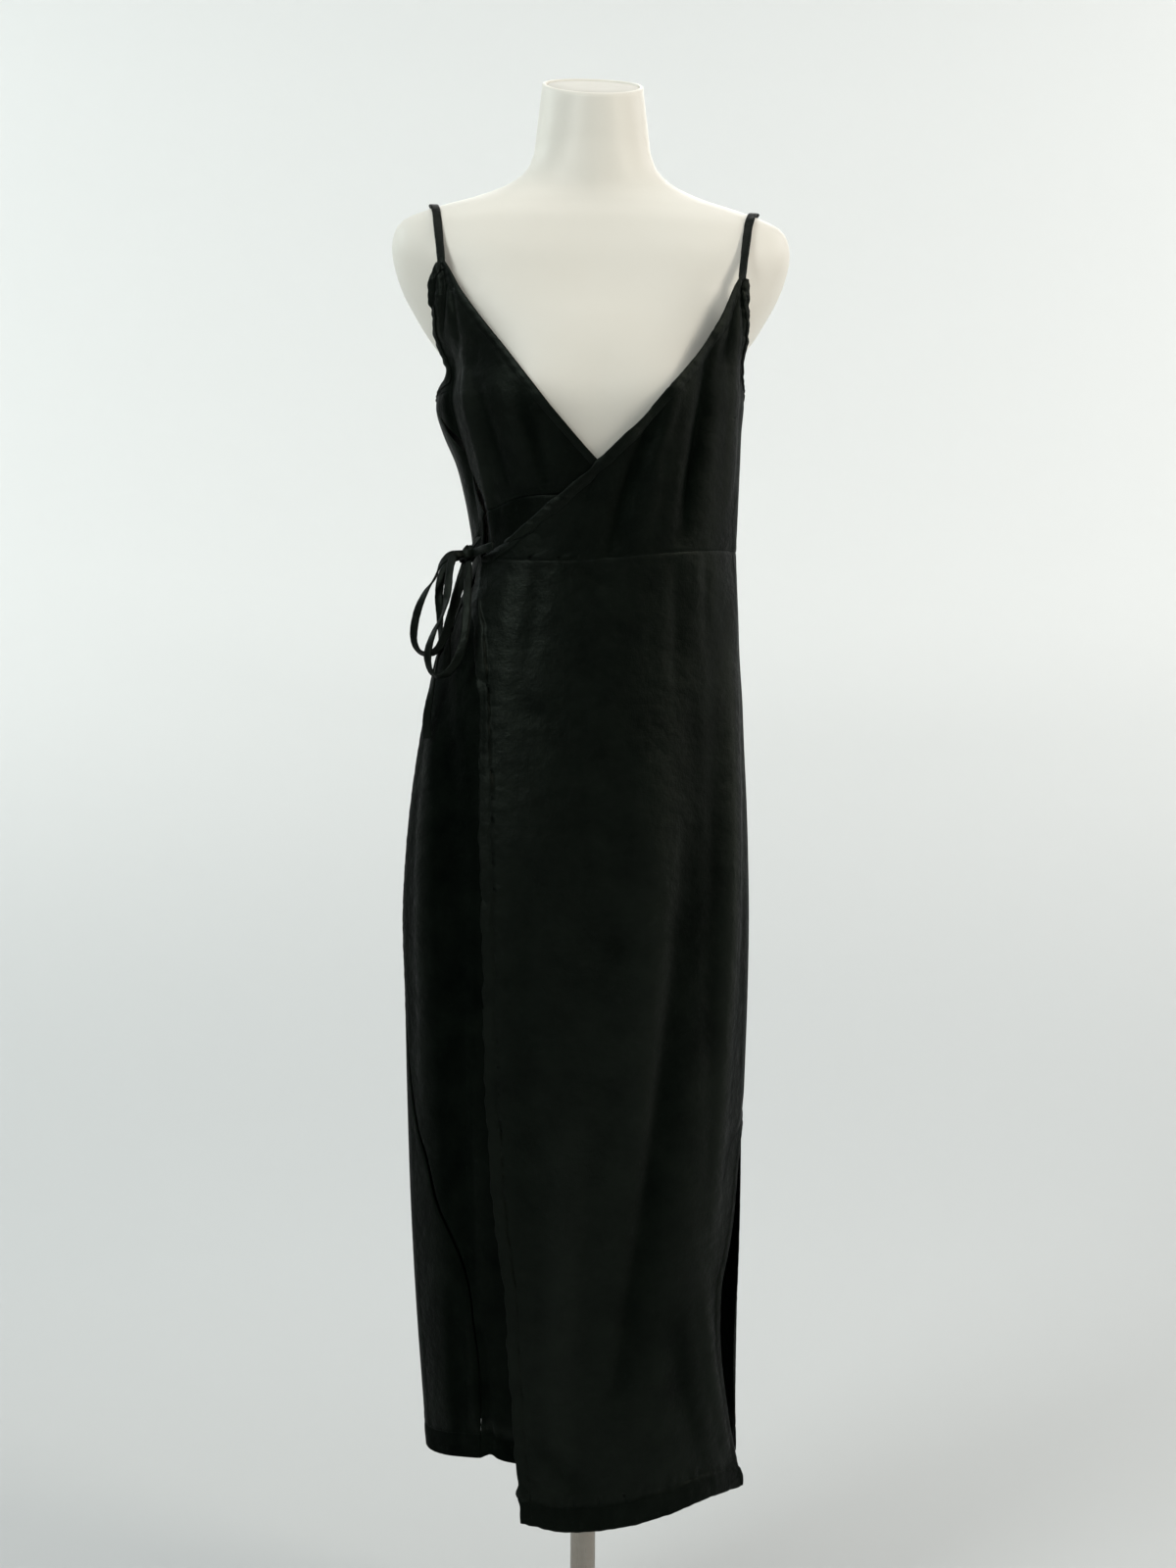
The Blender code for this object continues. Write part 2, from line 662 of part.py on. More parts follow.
def build_bodice(silk):
    """Three bodice panels, and the bindings made from the points along their edges."""
    down = [k / (ARM_ROWS + SEAM_ROWS) for k in range(ARM_ROWS + SEAM_ROWS + 1)]
    raised = WALL + SEAM_GAP

    neck = path(places(NECKLINE_LEFT))
    arm = path(places(ARMHOLE_LEFT) + [(LEFT_SIDE, UNDERARM)])
    seam = path([(LEFT_SIDE, UNDERARM), (LEFT_SIDE, 1.230), (LEFT_SIDE, WAIST_SIDE)])
    waist = path(places(WAIST_LEFT) + [(LEFT_SIDE, WAIST_SIDE)])
    area = patch(neck, joined(arm, seam), path([neck(0), arm(0)]), waist)
    rows = grid(area, banded(area, 16, NECK_BINDING_WIDTH, ARM_BINDING_WIDTH), down, outer_lift)
    wall("bodice_front_left", rows, WALL, silk)
    wall("neck_binding_left", [row[:2] for row in rows], WALL, silk, raised)
    arm_rows = [row[-2:] for row in rows[: ARM_ROWS + 1]]
    wall("armhole_binding_left", arm_rows, WALL, silk, raised)

    neck = path(places(NECKLINE_RIGHT))
    arm = path(places(ARMHOLE_RIGHT) + [(-90, UNDERARM)])
    seam = path(places(SIDE_SEAM_TOP))
    waist = path(places(WAIST_RIGHT)[::-1])
    area = patch(joined(arm, seam), neck, path([arm(0), neck(0)]), waist)
    rows = grid(area, banded(area, 12, ARM_BINDING_WIDTH, NECK_BINDING_WIDTH), down, 0.0)
    wall("bodice_front_right", rows, WALL, silk)
    wall("neck_binding_right", [row[-2:] for row in rows], WALL, silk, raised)
    arm_rows = [row[:2] for row in rows[: ARM_ROWS + 1]]
    wall("armhole_binding_right", arm_rows, WALL, silk, raised)

    top = path(places(BACK_TOP)[::-1])
    left = path([(-270, UNDERARM), (-270, 1.230), (-270, WAIST_SIDE)])
    area = patch(left, seam, top, path(places(WAIST_BACK)[::-1]))
    band = ARM_BINDING_WIDTH / area.height
    down = [0.0, band] + [k / SEAM_ROWS for k in range(1, SEAM_ROWS + 1)]
    rows = grid(area, even(22), down, 0.0)
    wall("bodice_back", rows, WALL, silk)
    wall("back_binding", rows[:2], WALL, silk, raised)


def build_skirt(silk):
    down = [k / SKIRT_ROWS for k in range(SKIRT_ROWS + 1)]
    side = [(LEFT_SIDE, WAIST_SIDE), (LEFT_SIDE, 0.900), (LEFT_SIDE, 0.700)]
    side += [(LEFT_SIDE - 0.3, 0.620), (LEFT_SIDE - 1.5, 0.585)]
    waist = path(places(WAIST_LEFT) + [(LEFT_SIDE, WAIST_SIDE)])
    area = patch(path(places(WRAP_EDGE)), path(side + places(SLIT_EDGE)), waist, path(places(HEM_LEFT)))
    wall("skirt_front_left", grid(area, even(22), down, outer_lift), WALL, silk)

    seam = path(places(SIDE_SEAM_MIDDLE) + places(SIDE_SEAM_BOTTOM))
    waist = path(places(WAIST_RIGHT)[::-1])
    area = patch(seam, path(places(UNDERLAP_EDGE)), waist, path(places(HEM_RIGHT)[::-1]))
    wall("skirt_front_right", grid(area, even(14), down, 0.0), WALL, silk)

    left = path(places(SLIT_BACK))
    hem = path((places(SIDE_SEAM_BOTTOM)[-1:] + places(HEM_BACK))[::-1])
    area = patch(left, seam, path(places(WAIST_BACK)[::-1]), hem)
    wall("skirt_back", grid(area, even(24), down, 0.0), WALL, silk)


# ---------------------------------------------------------------- straps
SHOULDER_CENTRE = 1.440
STRAP_CLEARANCE = 0.0034
STRAP_END = 1.3418
Strap = namedtuple("Strap", "name x_front z_front x_top turn_back")
STRAPS = [
    Strap("strap_right", -0.1518, 1.4222, -0.160, -138),
    Strap("strap_left", 0.1415, 1.4106, 0.166, -222),
]


def shoulder_point(x, angle):
    """Just outside the form at x, seen from inside the shoulder at this angle from the front."""
    near, far = 0.0, 0.15
    for _ in range(24):
        middle = (near + far) / 2
        y = -middle * cos(angle)
        z = SHOULDER_CENTRE + middle * sin(angle)
        turn = degrees(atan2(x, -y))
        inside = (x * x + y * y) ** 0.5 < form_radius(turn, z) and z < FORM[0].z
        near, far = (middle, far) if inside else (near, middle)
    reach = near + STRAP_CLEARANCE
    return Vector((x, -reach * cos(angle), SHOULDER_CENTRE + reach * sin(angle)))


def form_back(x, z):
    row = section_at(FORM, z)
    return row.back * (1 - (abs(x) / row.half_width) ** row.square) ** (1 / row.square)


def build_strap(strap, silk):
    """From the top of the front, over the shoulder and down the back to its top edge."""
    turn_front = turn_at(strap.x_front, strap.z_front)
    centres = [lifted(turn_front, strap.z_front, WALL / 2)]
    normals = [cloth_normal(turn_front, strap.z_front)]
    end = lifted(strap.turn_back, STRAP_END, WALL / 2)
    over = 10
    x_rear = strap.x_top + (end.x - strap.x_top) * 0.25
    for i in range(over):
        share = i / (over - 1)
        angle = radians(28 + 124 * share)
        x_low = strap.x_front if share < 0.5 else x_rear
        x = x_low + (strap.x_top - x_low) * (1 - abs(2 * share - 1))
        centres.append(shoulder_point(x, angle))
        normals.append(Vector((0, -cos(angle), sin(angle))))
    begin = centres[-1]
    below = 6
    for i in range(1, below + 1):
        share = i / below
        z = begin.z + (end.z - begin.z) * share
        x = begin.x + (end.x - begin.x) * share
        off = STRAP_CLEARANCE + (end.y - form_back(end.x, end.z) - STRAP_CLEARANCE) * share**2
        centres.append(Vector((x, form_back(x, z) + off, z)))
        normals.append(Vector((0, 1, 0)))
    ribbon(strap.name, centres, normals, STRAP_WIDTH, STRAP_THICKNESS, silk)


# ---------------------------------------------------------------- the tie
KNOT = Vector((-0.1225, -0.0640, 1.1390))
KNOT_SIZE = Vector((0.0075, 0.0070, 0.0085))
# Routes of the tie's free stretches, from the knot outwards, chosen by hand.
TIE_ROUTES = {
    "tie_loop_outer": [
        (-0.1310, -0.0640, 1.1400),
        (-0.1400, -0.0660, 1.1375),
        (-0.1490, -0.0680, 1.1290),
        (-0.1550, -0.0680, 1.1150),
        (-0.1640, -0.0670, 1.1010),
        (-0.1710, -0.0660, 1.0850),
        (-0.1750, -0.0650, 1.0660),
        (-0.1745, -0.0650, 1.0520),
        (-0.1690, -0.0660, 1.0430),
        (-0.1600, -0.0690, 1.0410),
        (-0.1510, -0.0740, 1.0470),
        (-0.1440, -0.0770, 1.0620),
        (-0.1380, -0.0780, 1.0830),
        (-0.1310, -0.0760, 1.1060),
        (-0.1260, -0.0700, 1.1230),
        (-0.1245, -0.0670, 1.1285),
    ],
    "tie_loop_inner": [
        (-0.1300, -0.0710, 1.1390),
        (-0.1370, -0.0770, 1.1350),
        (-0.1410, -0.0820, 1.1210),
        (-0.1430, -0.0870, 1.1000),
        (-0.1470, -0.0910, 1.0790),
        (-0.1560, -0.0940, 1.0600),
        (-0.1615, -0.0950, 1.0400),
        (-0.1590, -0.0960, 1.0240),
        (-0.1520, -0.0980, 1.0180),
        (-0.1420, -0.1010, 1.0220),
        (-0.1330, -0.1030, 1.0350),
        (-0.1270, -0.1020, 1.0550),
        (-0.1250, -0.0970, 1.0780),
        (-0.1240, -0.0880, 1.1000),
        (-0.1230, -0.0780, 1.1180),
        (-0.1225, -0.0720, 1.1290),
    ],
    "tie_tail_long": [
        (-0.1290, -0.0570, 1.1370),
        (-0.1400, -0.0560, 1.1330),
        (-0.1480, -0.0570, 1.1200),
        (-0.1510, -0.0585, 1.1000),
        (-0.1500, -0.0600, 1.0780),
        (-0.1495, -0.0610, 1.0550),
        (-0.1530, -0.0620, 1.0300),
        (-0.1580, -0.0610, 1.0050),
        (-0.1620, -0.0590, 0.9800),
        (-0.1615, -0.0580, 0.9600),
    ],
    "tie_tail_short": [
        (-0.1260, -0.0560, 1.1290),
        (-0.1310, -0.0600, 1.1130),
        (-0.1370, -0.0650, 1.0900),
        (-0.1410, -0.0680, 1.0650),
        (-0.1430, -0.0690, 1.0400),
        (-0.1435, -0.0690, 1.0200),
    ],
}


def build_knot(silk):
    sides, levels = 14, 8
    rings = []
    for k in range(levels):
        polar = pi * (k + 0.5) / levels
        ring = []
        for i in range(sides):
            around = 2 * pi * i / sides
            unit = Vector((sin(polar) * cos(around), sin(polar) * sin(around), -cos(polar)))
            ring.append(KNOT + Vector([unit[n] * KNOT_SIZE[n] for n in range(3)]))
        rings.append(ring)
    loft("tie_knot", rings, silk)


def build_tie(name, route, silk):
    """A round stand-in for the flat tie, along a smooth line through the route."""
    marks = [0.0]
    for a, b in zip(route, route[1:]):
        marks.append(marks[-1] + (Vector(b) - Vector(a)).length)
    count = max(8, round(marks[-1] / (2.6 * TIE_DIAMETER)))
    data = bpy.data.curves.new(name, "CURVE")
    data.dimensions = "3D"
    data.bevel_depth = TIE_DIAMETER / 2
    data.bevel_resolution = 2
    data.use_fill_caps = True
    spline = data.splines.new("POLY")
    spline.points.add(count)
    for i in range(count + 1):
        distance = marks[-1] * i / count
        place = [smooth(marks, [p[k] for p in route], distance) for k in range(3)]
        spline.points[i].co = (*place, 1)
    data.materials.append(silk)
    bpy.context.scene.collection.objects.link(bpy.data.objects.new(name, data))


for leftover in list(bpy.data.objects):
    bpy.data.objects.remove(leftover)

silk_cloth = material("silk_cloth", CLOTH_COLOUR, 0.62)
torso_plastic = material("torso_plastic", TORSO_COLOUR, 0.38)
cap_plastic = material("cap_plastic", CAP_COLOUR, 0.45)
brushed_steel = material("brushed_steel", STEEL_COLOUR, 0.25, 1.0)

build_form(torso_plastic, cap_plastic)
build_stand(brushed_steel)
build_bodice(silk_cloth)
build_skirt(silk_cloth)
for each in STRAPS:
    build_strap(each, silk_cloth)
build_knot(silk_cloth)
for tie_name, tie_route in TIE_ROUTES.items():
    build_tie(tie_name, tie_route, silk_cloth)
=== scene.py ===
"""A black silk wrap dress on a limbless dress form, as seen in a pale studio.

Metres, +Z up, the dress faces -Y, and the origin is the middle of the base's underside.
Each section makes one piece, or one group of like pieces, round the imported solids.
"""

import json
from collections import namedtuple
from math import atan2, cos, degrees, pi, radians, sin, tan

import bpy
import numpy as np
from mathutils import Euler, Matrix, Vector

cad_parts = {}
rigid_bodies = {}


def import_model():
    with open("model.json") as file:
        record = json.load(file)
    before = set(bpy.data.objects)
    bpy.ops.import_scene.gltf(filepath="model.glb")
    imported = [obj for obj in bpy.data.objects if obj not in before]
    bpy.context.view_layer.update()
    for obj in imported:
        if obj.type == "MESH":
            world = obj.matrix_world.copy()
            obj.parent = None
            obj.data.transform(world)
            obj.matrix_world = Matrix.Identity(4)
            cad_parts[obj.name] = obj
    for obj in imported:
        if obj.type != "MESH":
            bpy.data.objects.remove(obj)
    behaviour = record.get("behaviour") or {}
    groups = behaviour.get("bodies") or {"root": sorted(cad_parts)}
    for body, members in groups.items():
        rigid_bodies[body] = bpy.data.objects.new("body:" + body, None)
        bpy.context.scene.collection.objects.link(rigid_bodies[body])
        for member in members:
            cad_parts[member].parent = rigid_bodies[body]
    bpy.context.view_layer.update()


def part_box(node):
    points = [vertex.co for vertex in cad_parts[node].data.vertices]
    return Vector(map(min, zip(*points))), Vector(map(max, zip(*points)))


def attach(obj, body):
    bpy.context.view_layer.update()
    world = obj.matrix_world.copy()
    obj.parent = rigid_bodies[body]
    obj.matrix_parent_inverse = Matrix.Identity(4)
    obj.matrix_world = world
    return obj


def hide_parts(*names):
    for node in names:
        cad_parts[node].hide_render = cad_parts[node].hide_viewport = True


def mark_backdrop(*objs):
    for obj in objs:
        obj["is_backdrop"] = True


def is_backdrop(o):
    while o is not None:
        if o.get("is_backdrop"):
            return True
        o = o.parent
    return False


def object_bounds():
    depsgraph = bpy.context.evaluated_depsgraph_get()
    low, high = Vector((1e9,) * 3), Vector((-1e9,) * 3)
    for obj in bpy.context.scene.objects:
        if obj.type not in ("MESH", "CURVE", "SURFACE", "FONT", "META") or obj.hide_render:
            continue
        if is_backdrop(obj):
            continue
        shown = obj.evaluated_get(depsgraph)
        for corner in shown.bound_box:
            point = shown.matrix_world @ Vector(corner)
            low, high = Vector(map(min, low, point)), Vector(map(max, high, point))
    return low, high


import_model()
for leftover in [o for o in bpy.data.objects if o.name in ("Cube", "Camera", "Light")]:
    bpy.data.objects.remove(leftover)

# ------------------------------------------------------------------ the studio
# The camera stands a little to the wearer's right of straight ahead, level, at the height of the
# hips.  A round, seamless pale cove is floor and wall in one, so that no horizon shows.
CAMERA_DISTANCE = 2.288
CAMERA_HEIGHT = 0.916
CAMERA_TURN = radians(4.0)
CAMERA_ROLL = radians(0.397)
LENS = 52.26
SENSOR = 36.0


def add_node(tree, kind, inputs=None, **settings):
    """A node with its settings, and with each named input linked or set."""
    made = tree.nodes.new(kind)
    for key, value in settings.items():
        setattr(made, key, value)
    for key, value in (inputs or {}).items():
        if isinstance(value, bpy.types.NodeSocket):
            tree.links.new(value, made.inputs[key])
        else:
            made.inputs[key].default_value = value
    return made


def new_material(name, colour, roughness):
    """A material with an empty Principled shader, and that shader."""
    made = bpy.data.materials.new(name)
    made.use_nodes = True
    made.diffuse_color = (*colour, 1)
    shader = made.node_tree.nodes["Principled BSDF"]
    shader.inputs["Base Color"].default_value = (*colour, 1)
    shader.inputs["Roughness"].default_value = roughness
    return made, shader


def plain_mesh(name, points, faces, finish):
    """A smooth-shaded mesh object at the origin."""
    mesh = bpy.data.meshes.new(name)
    mesh.from_pydata(np.asarray(points).reshape(-1, 3).tolist(), [], faces)
    mesh.materials.append(finish)
    mesh.shade_smooth()
    made = bpy.data.objects.new(name, mesh)
    bpy.context.scene.collection.objects.link(made)
    return made


def ring_faces(rows, sides):
    """Faces between `rows` closed rings of `sides` points, outward when the rings rise."""
    faces = []
    for k in range(rows - 1):
        for i in range(sides):
            a = k * sides + i
            b = k * sides + (i + 1) % sides
            faces.append((a, b, b + sides, a + sides))
    return faces


camera_data = bpy.data.cameras.new("camera")
camera_data.lens = LENS
camera_data.sensor_width = SENSOR
camera = bpy.data.objects.new("camera", camera_data)
camera.location = (
    -CAMERA_DISTANCE * sin(CAMERA_TURN),
    -CAMERA_DISTANCE * cos(CAMERA_TURN),
    CAMERA_HEIGHT,
)
level = Euler((pi / 2, 0, -CAMERA_TURN), "XYZ").to_matrix()
camera.rotation_euler = (level @ Euler((0, 0, CAMERA_ROLL), "XYZ").to_matrix()).to_euler()
bpy.context.scene.collection.objects.link(camera)
bpy.context.scene.camera = camera
bpy.context.scene.view_settings.view_transform = "Standard"

COVE_FLOOR = 2.2
COVE_CURVE = 3.2
COVE_TOP = 6.5
COVE_SIDES = 96
COVE_STEPS = 24
cove_profile = [(0.02, 0.0), (COVE_FLOOR, 0.0)]
for step in range(1, COVE_STEPS + 1):
    bend = pi / 2 * step / COVE_STEPS
    cove_profile.append((COVE_FLOOR + COVE_CURVE * sin(bend), COVE_CURVE * (1 - cos(bend))))
cove_profile.append((COVE_FLOOR + COVE_CURVE, COVE_TOP))
cove_points = []
for reach, rise in cove_profile:
    for side in range(COVE_SIDES):
        around = 2 * pi * side / COVE_SIDES
        cove_points.append((reach * cos(around), reach * sin(around), rise))
cove_faces = [face[::-1] for face in ring_faces(len(cove_profile), COVE_SIDES)]
cove_paint, cove_shader = new_material("cove_paint", (0.80, 0.80, 0.79), 0.9)
cove_shader.inputs["Specular IOR Level"].default_value = 0.1
tree = cove_paint.node_tree
height = add_node(
    tree,
    "ShaderNodeSeparateXYZ",
    {"Vector": add_node(tree, "ShaderNodeTexCoord").outputs["Object"]},
).outputs["Z"]
# Painted shade: the cove's paint is darker towards the floor, from 0.55 at the bottom to 0.84 from 1.6
# m up.
rise = add_node(tree, "ShaderNodeMapRange", {"Value": height}, interpolation_type="SMOOTHSTEP")
rise.inputs["From Max"].default_value = 1.6
painted_floor_shade = add_node(tree, "ShaderNodeMix", data_type="RGBA")
tree.links.new(rise.outputs[0], painted_floor_shade.inputs[0])
painted_floor_shade.inputs[6].default_value = (0.55, 0.56, 0.56, 1)
painted_floor_shade.inputs[7].default_value = (0.84, 0.84, 0.83, 1)
tree.links.new(painted_floor_shade.outputs[2], cove_shader.inputs["Base Color"])
cove = plain_mesh("studio_cove", cove_points, cove_faces, cove_paint)
centre_disc = plain_mesh(
    "studio_floor_centre",
    [(0.021 * cos(2 * pi * k / 24), 0.021 * sin(2 * pi * k / 24), 0.0) for k in range(24)],
    [list(range(24))],
    cove_paint,
)
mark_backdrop(cove, centre_disc)

# A black curtain round the front of the room, so that the silk has something dark to mirror.
# It isn't seen itself and casts no shadow.
CURTAIN_REACH = 3.9
CURTAIN_THICKNESS = 0.02
CURTAIN_FOOT = 0.495
CURTAIN_TOP = 4.6
CURTAIN_SPREAD = 100
CURTAIN_STEPS = 24
curtain_points = []
for reach in (CURTAIN_REACH, CURTAIN_REACH + CURTAIN_THICKNESS):
    for rise in (CURTAIN_FOOT, CURTAIN_TOP):
        for step in range(CURTAIN_STEPS + 1):
            around = radians(CURTAIN_SPREAD * (2 * step / CURTAIN_STEPS - 1))
            curtain_points.append((reach * sin(around), -reach * cos(around), rise))
row = CURTAIN_STEPS + 1
curtain_faces = []
for k in range(CURTAIN_STEPS):
    inner, outer = k, 2 * row + k
    curtain_faces.append([inner, inner + row, inner + row + 1, inner + 1])
    curtain_faces.append([outer, outer + 1, outer + row + 1, outer + row])
    curtain_faces.append([inner + row, outer + row, outer + row + 1, inner + row + 1])
    curtain_faces.append([inner, inner + 1, outer + 1, outer])
curtain_faces.append([0, 2 * row, 3 * row, row])
curtain_faces.append([row - 1, 2 * row - 1, 4 * row - 1, 3 * row - 1])
curtain_cloth, _ = new_material("curtain_cloth", (0.02, 0.02, 0.02), 0.95)
curtain = plain_mesh("studio_curtain", curtain_points, curtain_faces, curtain_cloth)
curtain.visible_camera = False
curtain.visible_shadow = False
curtain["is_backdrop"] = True

# A cool window on one side and a warm lamp on the other light the dress.  The rest fill in,
# pick out its left edge and wash the walls.  Places and sizes are in metres, power in watts.
Softbox = namedtuple("Softbox", "name place aim width height power colour")
SOFTBOXES = [
    Softbox("window_side", (-2.2, -2.7, 3.1), (0, 0, 1.0), 1.1, 1.4, 64, (0.92, 0.98, 0.96)),
    Softbox("lamp_side", (2.7, -2.0, 3.0), (0, 0, 1.0), 0.9, 1.4, 45, (1.0, 0.94, 0.83)),
    Softbox("overhead", (0.0, -0.6, 4.6), (0, 0, 0.95), 3.2, 3.2, 38, (1.0, 0.99, 0.97)),
    Softbox("rear_fill", (0.6, 2.8, 3.2), (0, 0, 0.95), 2.0, 2.0, 30, (1.0, 0.99, 0.97)),
    Softbox("strip_right", (2.7, -0.3, 1.5), (0, 0, 0.95), 0.3, 2.0, 13, (1.0, 0.96, 0.90)),
    Softbox("wall_left", (-3.6, 1.6, 3.6), (-0.9, 5.4, 2.2), 1.5, 1.5, 84, (0.86, 0.99, 1.0)),
    Softbox("wall_right", (3.6, 1.6, 3.6), (0.9, 5.4, 2.2), 1.5, 1.5, 72, (1.0, 0.98, 0.95)),
    Softbox("wall_front", (0.0, -4.0, 3.4), (0.0, -6.4, 1.6), 2.4, 1.5, 42, (1.0, 0.99, 0.97)),
    Softbox("wall_front_left", (-3.5, -2.1, 3.4), (-5.6, -3.3, 1.6), 2.4, 1.5, 42, (0.97, 0.99, 1.0)),
    Softbox("wall_front_right", (3.5, -2.1, 3.4), (5.6, -3.3, 1.6), 2.4, 1.5, 42, (1.0, 0.98, 0.95)),
]
for box in SOFTBOXES:
    light_data = bpy.data.lights.new(box.name, "AREA")
    light_data.shape = "RECTANGLE"
    light_data.size = box.width
    light_data.size_y = box.height
    light_data.energy = box.power
    light_data.color = box.colour
    light = bpy.data.objects.new(box.name, light_data)
    light.location = box.place
    aim = Vector(box.aim) - light.location
    light.rotation_euler = aim.to_track_quat("-Z", "Y").to_euler()
    light.visible_camera = False
    bpy.context.scene.collection.objects.link(light)
sky = bpy.data.worlds.new("studio_air")
sky.use_nodes = True
sky.node_tree.nodes["Background"].inputs["Color"].default_value = (0.95, 0.98, 1.0, 1)
sky.node_tree.nodes["Background"].inputs["Strength"].default_value = 0.30
bpy.context.scene.world = sky

# ------------------------------------------------------------------ the form's torso
# A smooth moulded shell without limbs, eggshell cream, with a slanted cut at the neck that a
# thin rim surrounds.  It is one moulding; faint flow marks and handling scuffs show in its gloss.
FormSection = namedtuple("FormSection", "z half_width front back square")
FORM = [
    FormSection(1.5480, 0.0585, 0.058, 0.050, 2.1),
    FormSection(1.5290, 0.0670, 0.059, 0.054, 2.0),
    FormSection(1.5145, 0.0860, 0.060, 0.060, 1.75),
    FormSection(1.5020, 0.1180, 0.061, 0.064, 1.6),
    FormSection(1.4935, 0.1480, 0.063, 0.067, 1.65),
    FormSection(1.4830, 0.1780, 0.066, 0.069, 1.8),
    FormSection(1.4735, 0.1930, 0.070, 0.072, 2.0),
    FormSection(1.4570, 0.1995, 0.075, 0.076, 2.2),
    FormSection(1.4365, 0.1985, 0.081, 0.080, 2.4),
    FormSection(1.4080, 0.1895, 0.088, 0.084, 2.4),
    FormSection(1.3870, 0.1785, 0.094, 0.086, 2.4),
    FormSection(1.3660, 0.1660, 0.101, 0.088, 2.3),
    FormSection(1.3450, 0.1510, 0.107, 0.088, 2.3),
    FormSection(1.3200, 0.1380, 0.112, 0.087, 2.3),
    FormSection(1.2900, 0.1310, 0.115, 0.085, 2.3),
    FormSection(1.2600, 0.1260, 0.112, 0.083, 2.3),
    FormSection(1.2200, 0.1160, 0.106, 0.080, 2.3),
    FormSection(1.1800, 0.1070, 0.098, 0.078, 2.3),
    FormSection(1.1400, 0.1030, 0.094, 0.078, 2.3),
    FormSection(1.1000, 0.1100, 0.095, 0.083, 2.3),
    FormSection(1.0400, 0.1280, 0.099, 0.094, 2.3),
    FormSection(0.9800, 0.1400, 0.104, 0.106, 2.3),
    FormSection(0.9000, 0.1480, 0.108, 0.118, 2.3),
    FormSection(0.8200, 0.1500, 0.108, 0.122, 2.3),
    FormSection(0.7400, 0.1470, 0.104, 0.116, 2.3),
    FormSection(0.6940, 0.1420, 0.098, 0.108, 2.3),
    FormSection(0.6800, 0.1280, 0.084, 0.094, 2.3),
]
NECK_TOP = 1.6190
NECK = FormSection(NECK_TOP, 0.0505, 0.0590, 0.0430, 2.05)
NECK_SLANT = radians(24)
NECK_RIM = 0.93
NECK_RECESS = 0.004
BUST_HEIGHT = 1.287
BUST_SIDE = 0.072
BUST_SPREAD = 0.040
BUST_RISE = 0.010
FORM_SIDES = 144
FORM_STEP = 0.006


def smooth(keys, values, at):
    """The values at `at` on a smooth curve through a table with rising keys."""
    keys = np.asarray(keys, float)
    values = np.asarray(values, float)
    at = np.clip(at, keys[0], keys[-1])
    i = np.clip(np.searchsorted(keys, at) - 1, 0, len(keys) - 2)
    low = np.maximum(np.arange(len(keys)) - 1, 0)
    high = np.minimum(np.arange(len(keys)) + 1, len(keys) - 1)
    slopes = (values[high] - values[low]) / (keys[high] - keys[low])
    span = keys[i + 1] - keys[i]
    u = (at - keys[i]) / span
    start = values[i] * (1 + 2 * u) * (1 - u) ** 2 + slopes[i] * span * u * (1 - u) ** 2
    end = values[i + 1] * u * u * (3 - 2 * u) + slopes[i + 1] * span * u * u * (u - 1)
    return start + end


def section_at(table, z):
    """The columns of a table's section at the heights z, after z itself."""
    rising = table[::-1]
    keys = [row.z for row in rising]
    return [smooth(keys, [row[k] for row in rising], z) for k in range(1, len(table[0]))]


def outline(turn, right, left, front, back, square):
    """Distance from the axis to a rounded-box outline at these turns, in degrees."""
    across = np.sin(np.radians(turn))
    ahead = np.cos(np.radians(turn))
    wide = np.where(across > 0, left, right)
    deep = np.where(ahead > 0, front, back)
    return (np.abs(across / wide) ** square + np.abs(ahead / deep) ** square) ** (-1 / square)


def form_radius(turn, z):
    """The form's outline, with a low round rise on each side of the chest."""
    half_width, front, back, square = section_at(FORM, z)
    r = outline(turn, half_width, half_width, front, back, square)
    x = r * np.sin(np.radians(turn))
    away = ((np.abs(x) - BUST_SIDE) / BUST_SPREAD) ** 2 + ((z - BUST_HEIGHT) / BUST_SPREAD) ** 2
    return r + BUST_RISE * np.exp(-away) * np.maximum(np.cos(np.radians(turn)), 0)


def polar(turn, r, z):
    """Points at these turns and distances from the axis."""
    turn, r, z = np.broadcast_arrays(turn, r, z)
    return np.stack([r * np.sin(np.radians(turn)), -r * np.cos(np.radians(turn)), z], axis=-1)


def neck_ring(turns, share, scale=1.0, drop=0.0):
    """A ring on the neck, from its foot (share 0) to its slanted cut (share 1)."""
    foot = FORM[0]
    size = [foot[k] + (NECK[k] - foot[k]) * share for k in range(5)]
    r = outline(turns, size[1], size[1], size[2], size[3], size[4]) * scale
    ring = polar(turns, r, foot.z)
    cut = NECK_TOP - drop + ring[:, 1] * tan(NECK_SLANT)
    ring[:, 2] = foot.z + (cut - foot.z) * share
    return ring


def capped(name, rings, finish):
    """A closed solid through rings that run upwards, with its ends closed by fans."""
    sides = len(rings[0])
    points = np.concatenate([*rings, [rings[0].mean(axis=0)], [rings[-1].mean(axis=0)]])
    faces = ring_faces(len(rings), sides)
    below = len(rings) * sides
    last = below - sides
    for i in range(sides):
        j = (i + 1) % sides
        faces.append((below, j, i))
        faces.append((below + 1, last + i, last + j))
    made = plain_mesh(name, points, faces, finish)
    made.data.set_sharp_from_angle(angle=radians(50))
    return made


def shader_group(name, inputs, outputs):
    """An empty shader node group with these named sockets, and its two end nodes."""
    tree = bpy.data.node_groups.new(name, "ShaderNodeTree")
    for label, kind, value in inputs:
        socket = tree.interface.new_socket(label, in_out="INPUT", socket_type=kind)
        if value is not None:
            socket.default_value = value
    for label, kind in outputs:
        tree.interface.new_socket(label, in_out="OUTPUT", socket_type=kind)
    return tree, tree.nodes.new("NodeGroupInput"), tree.nodes.new("NodeGroupOutput")


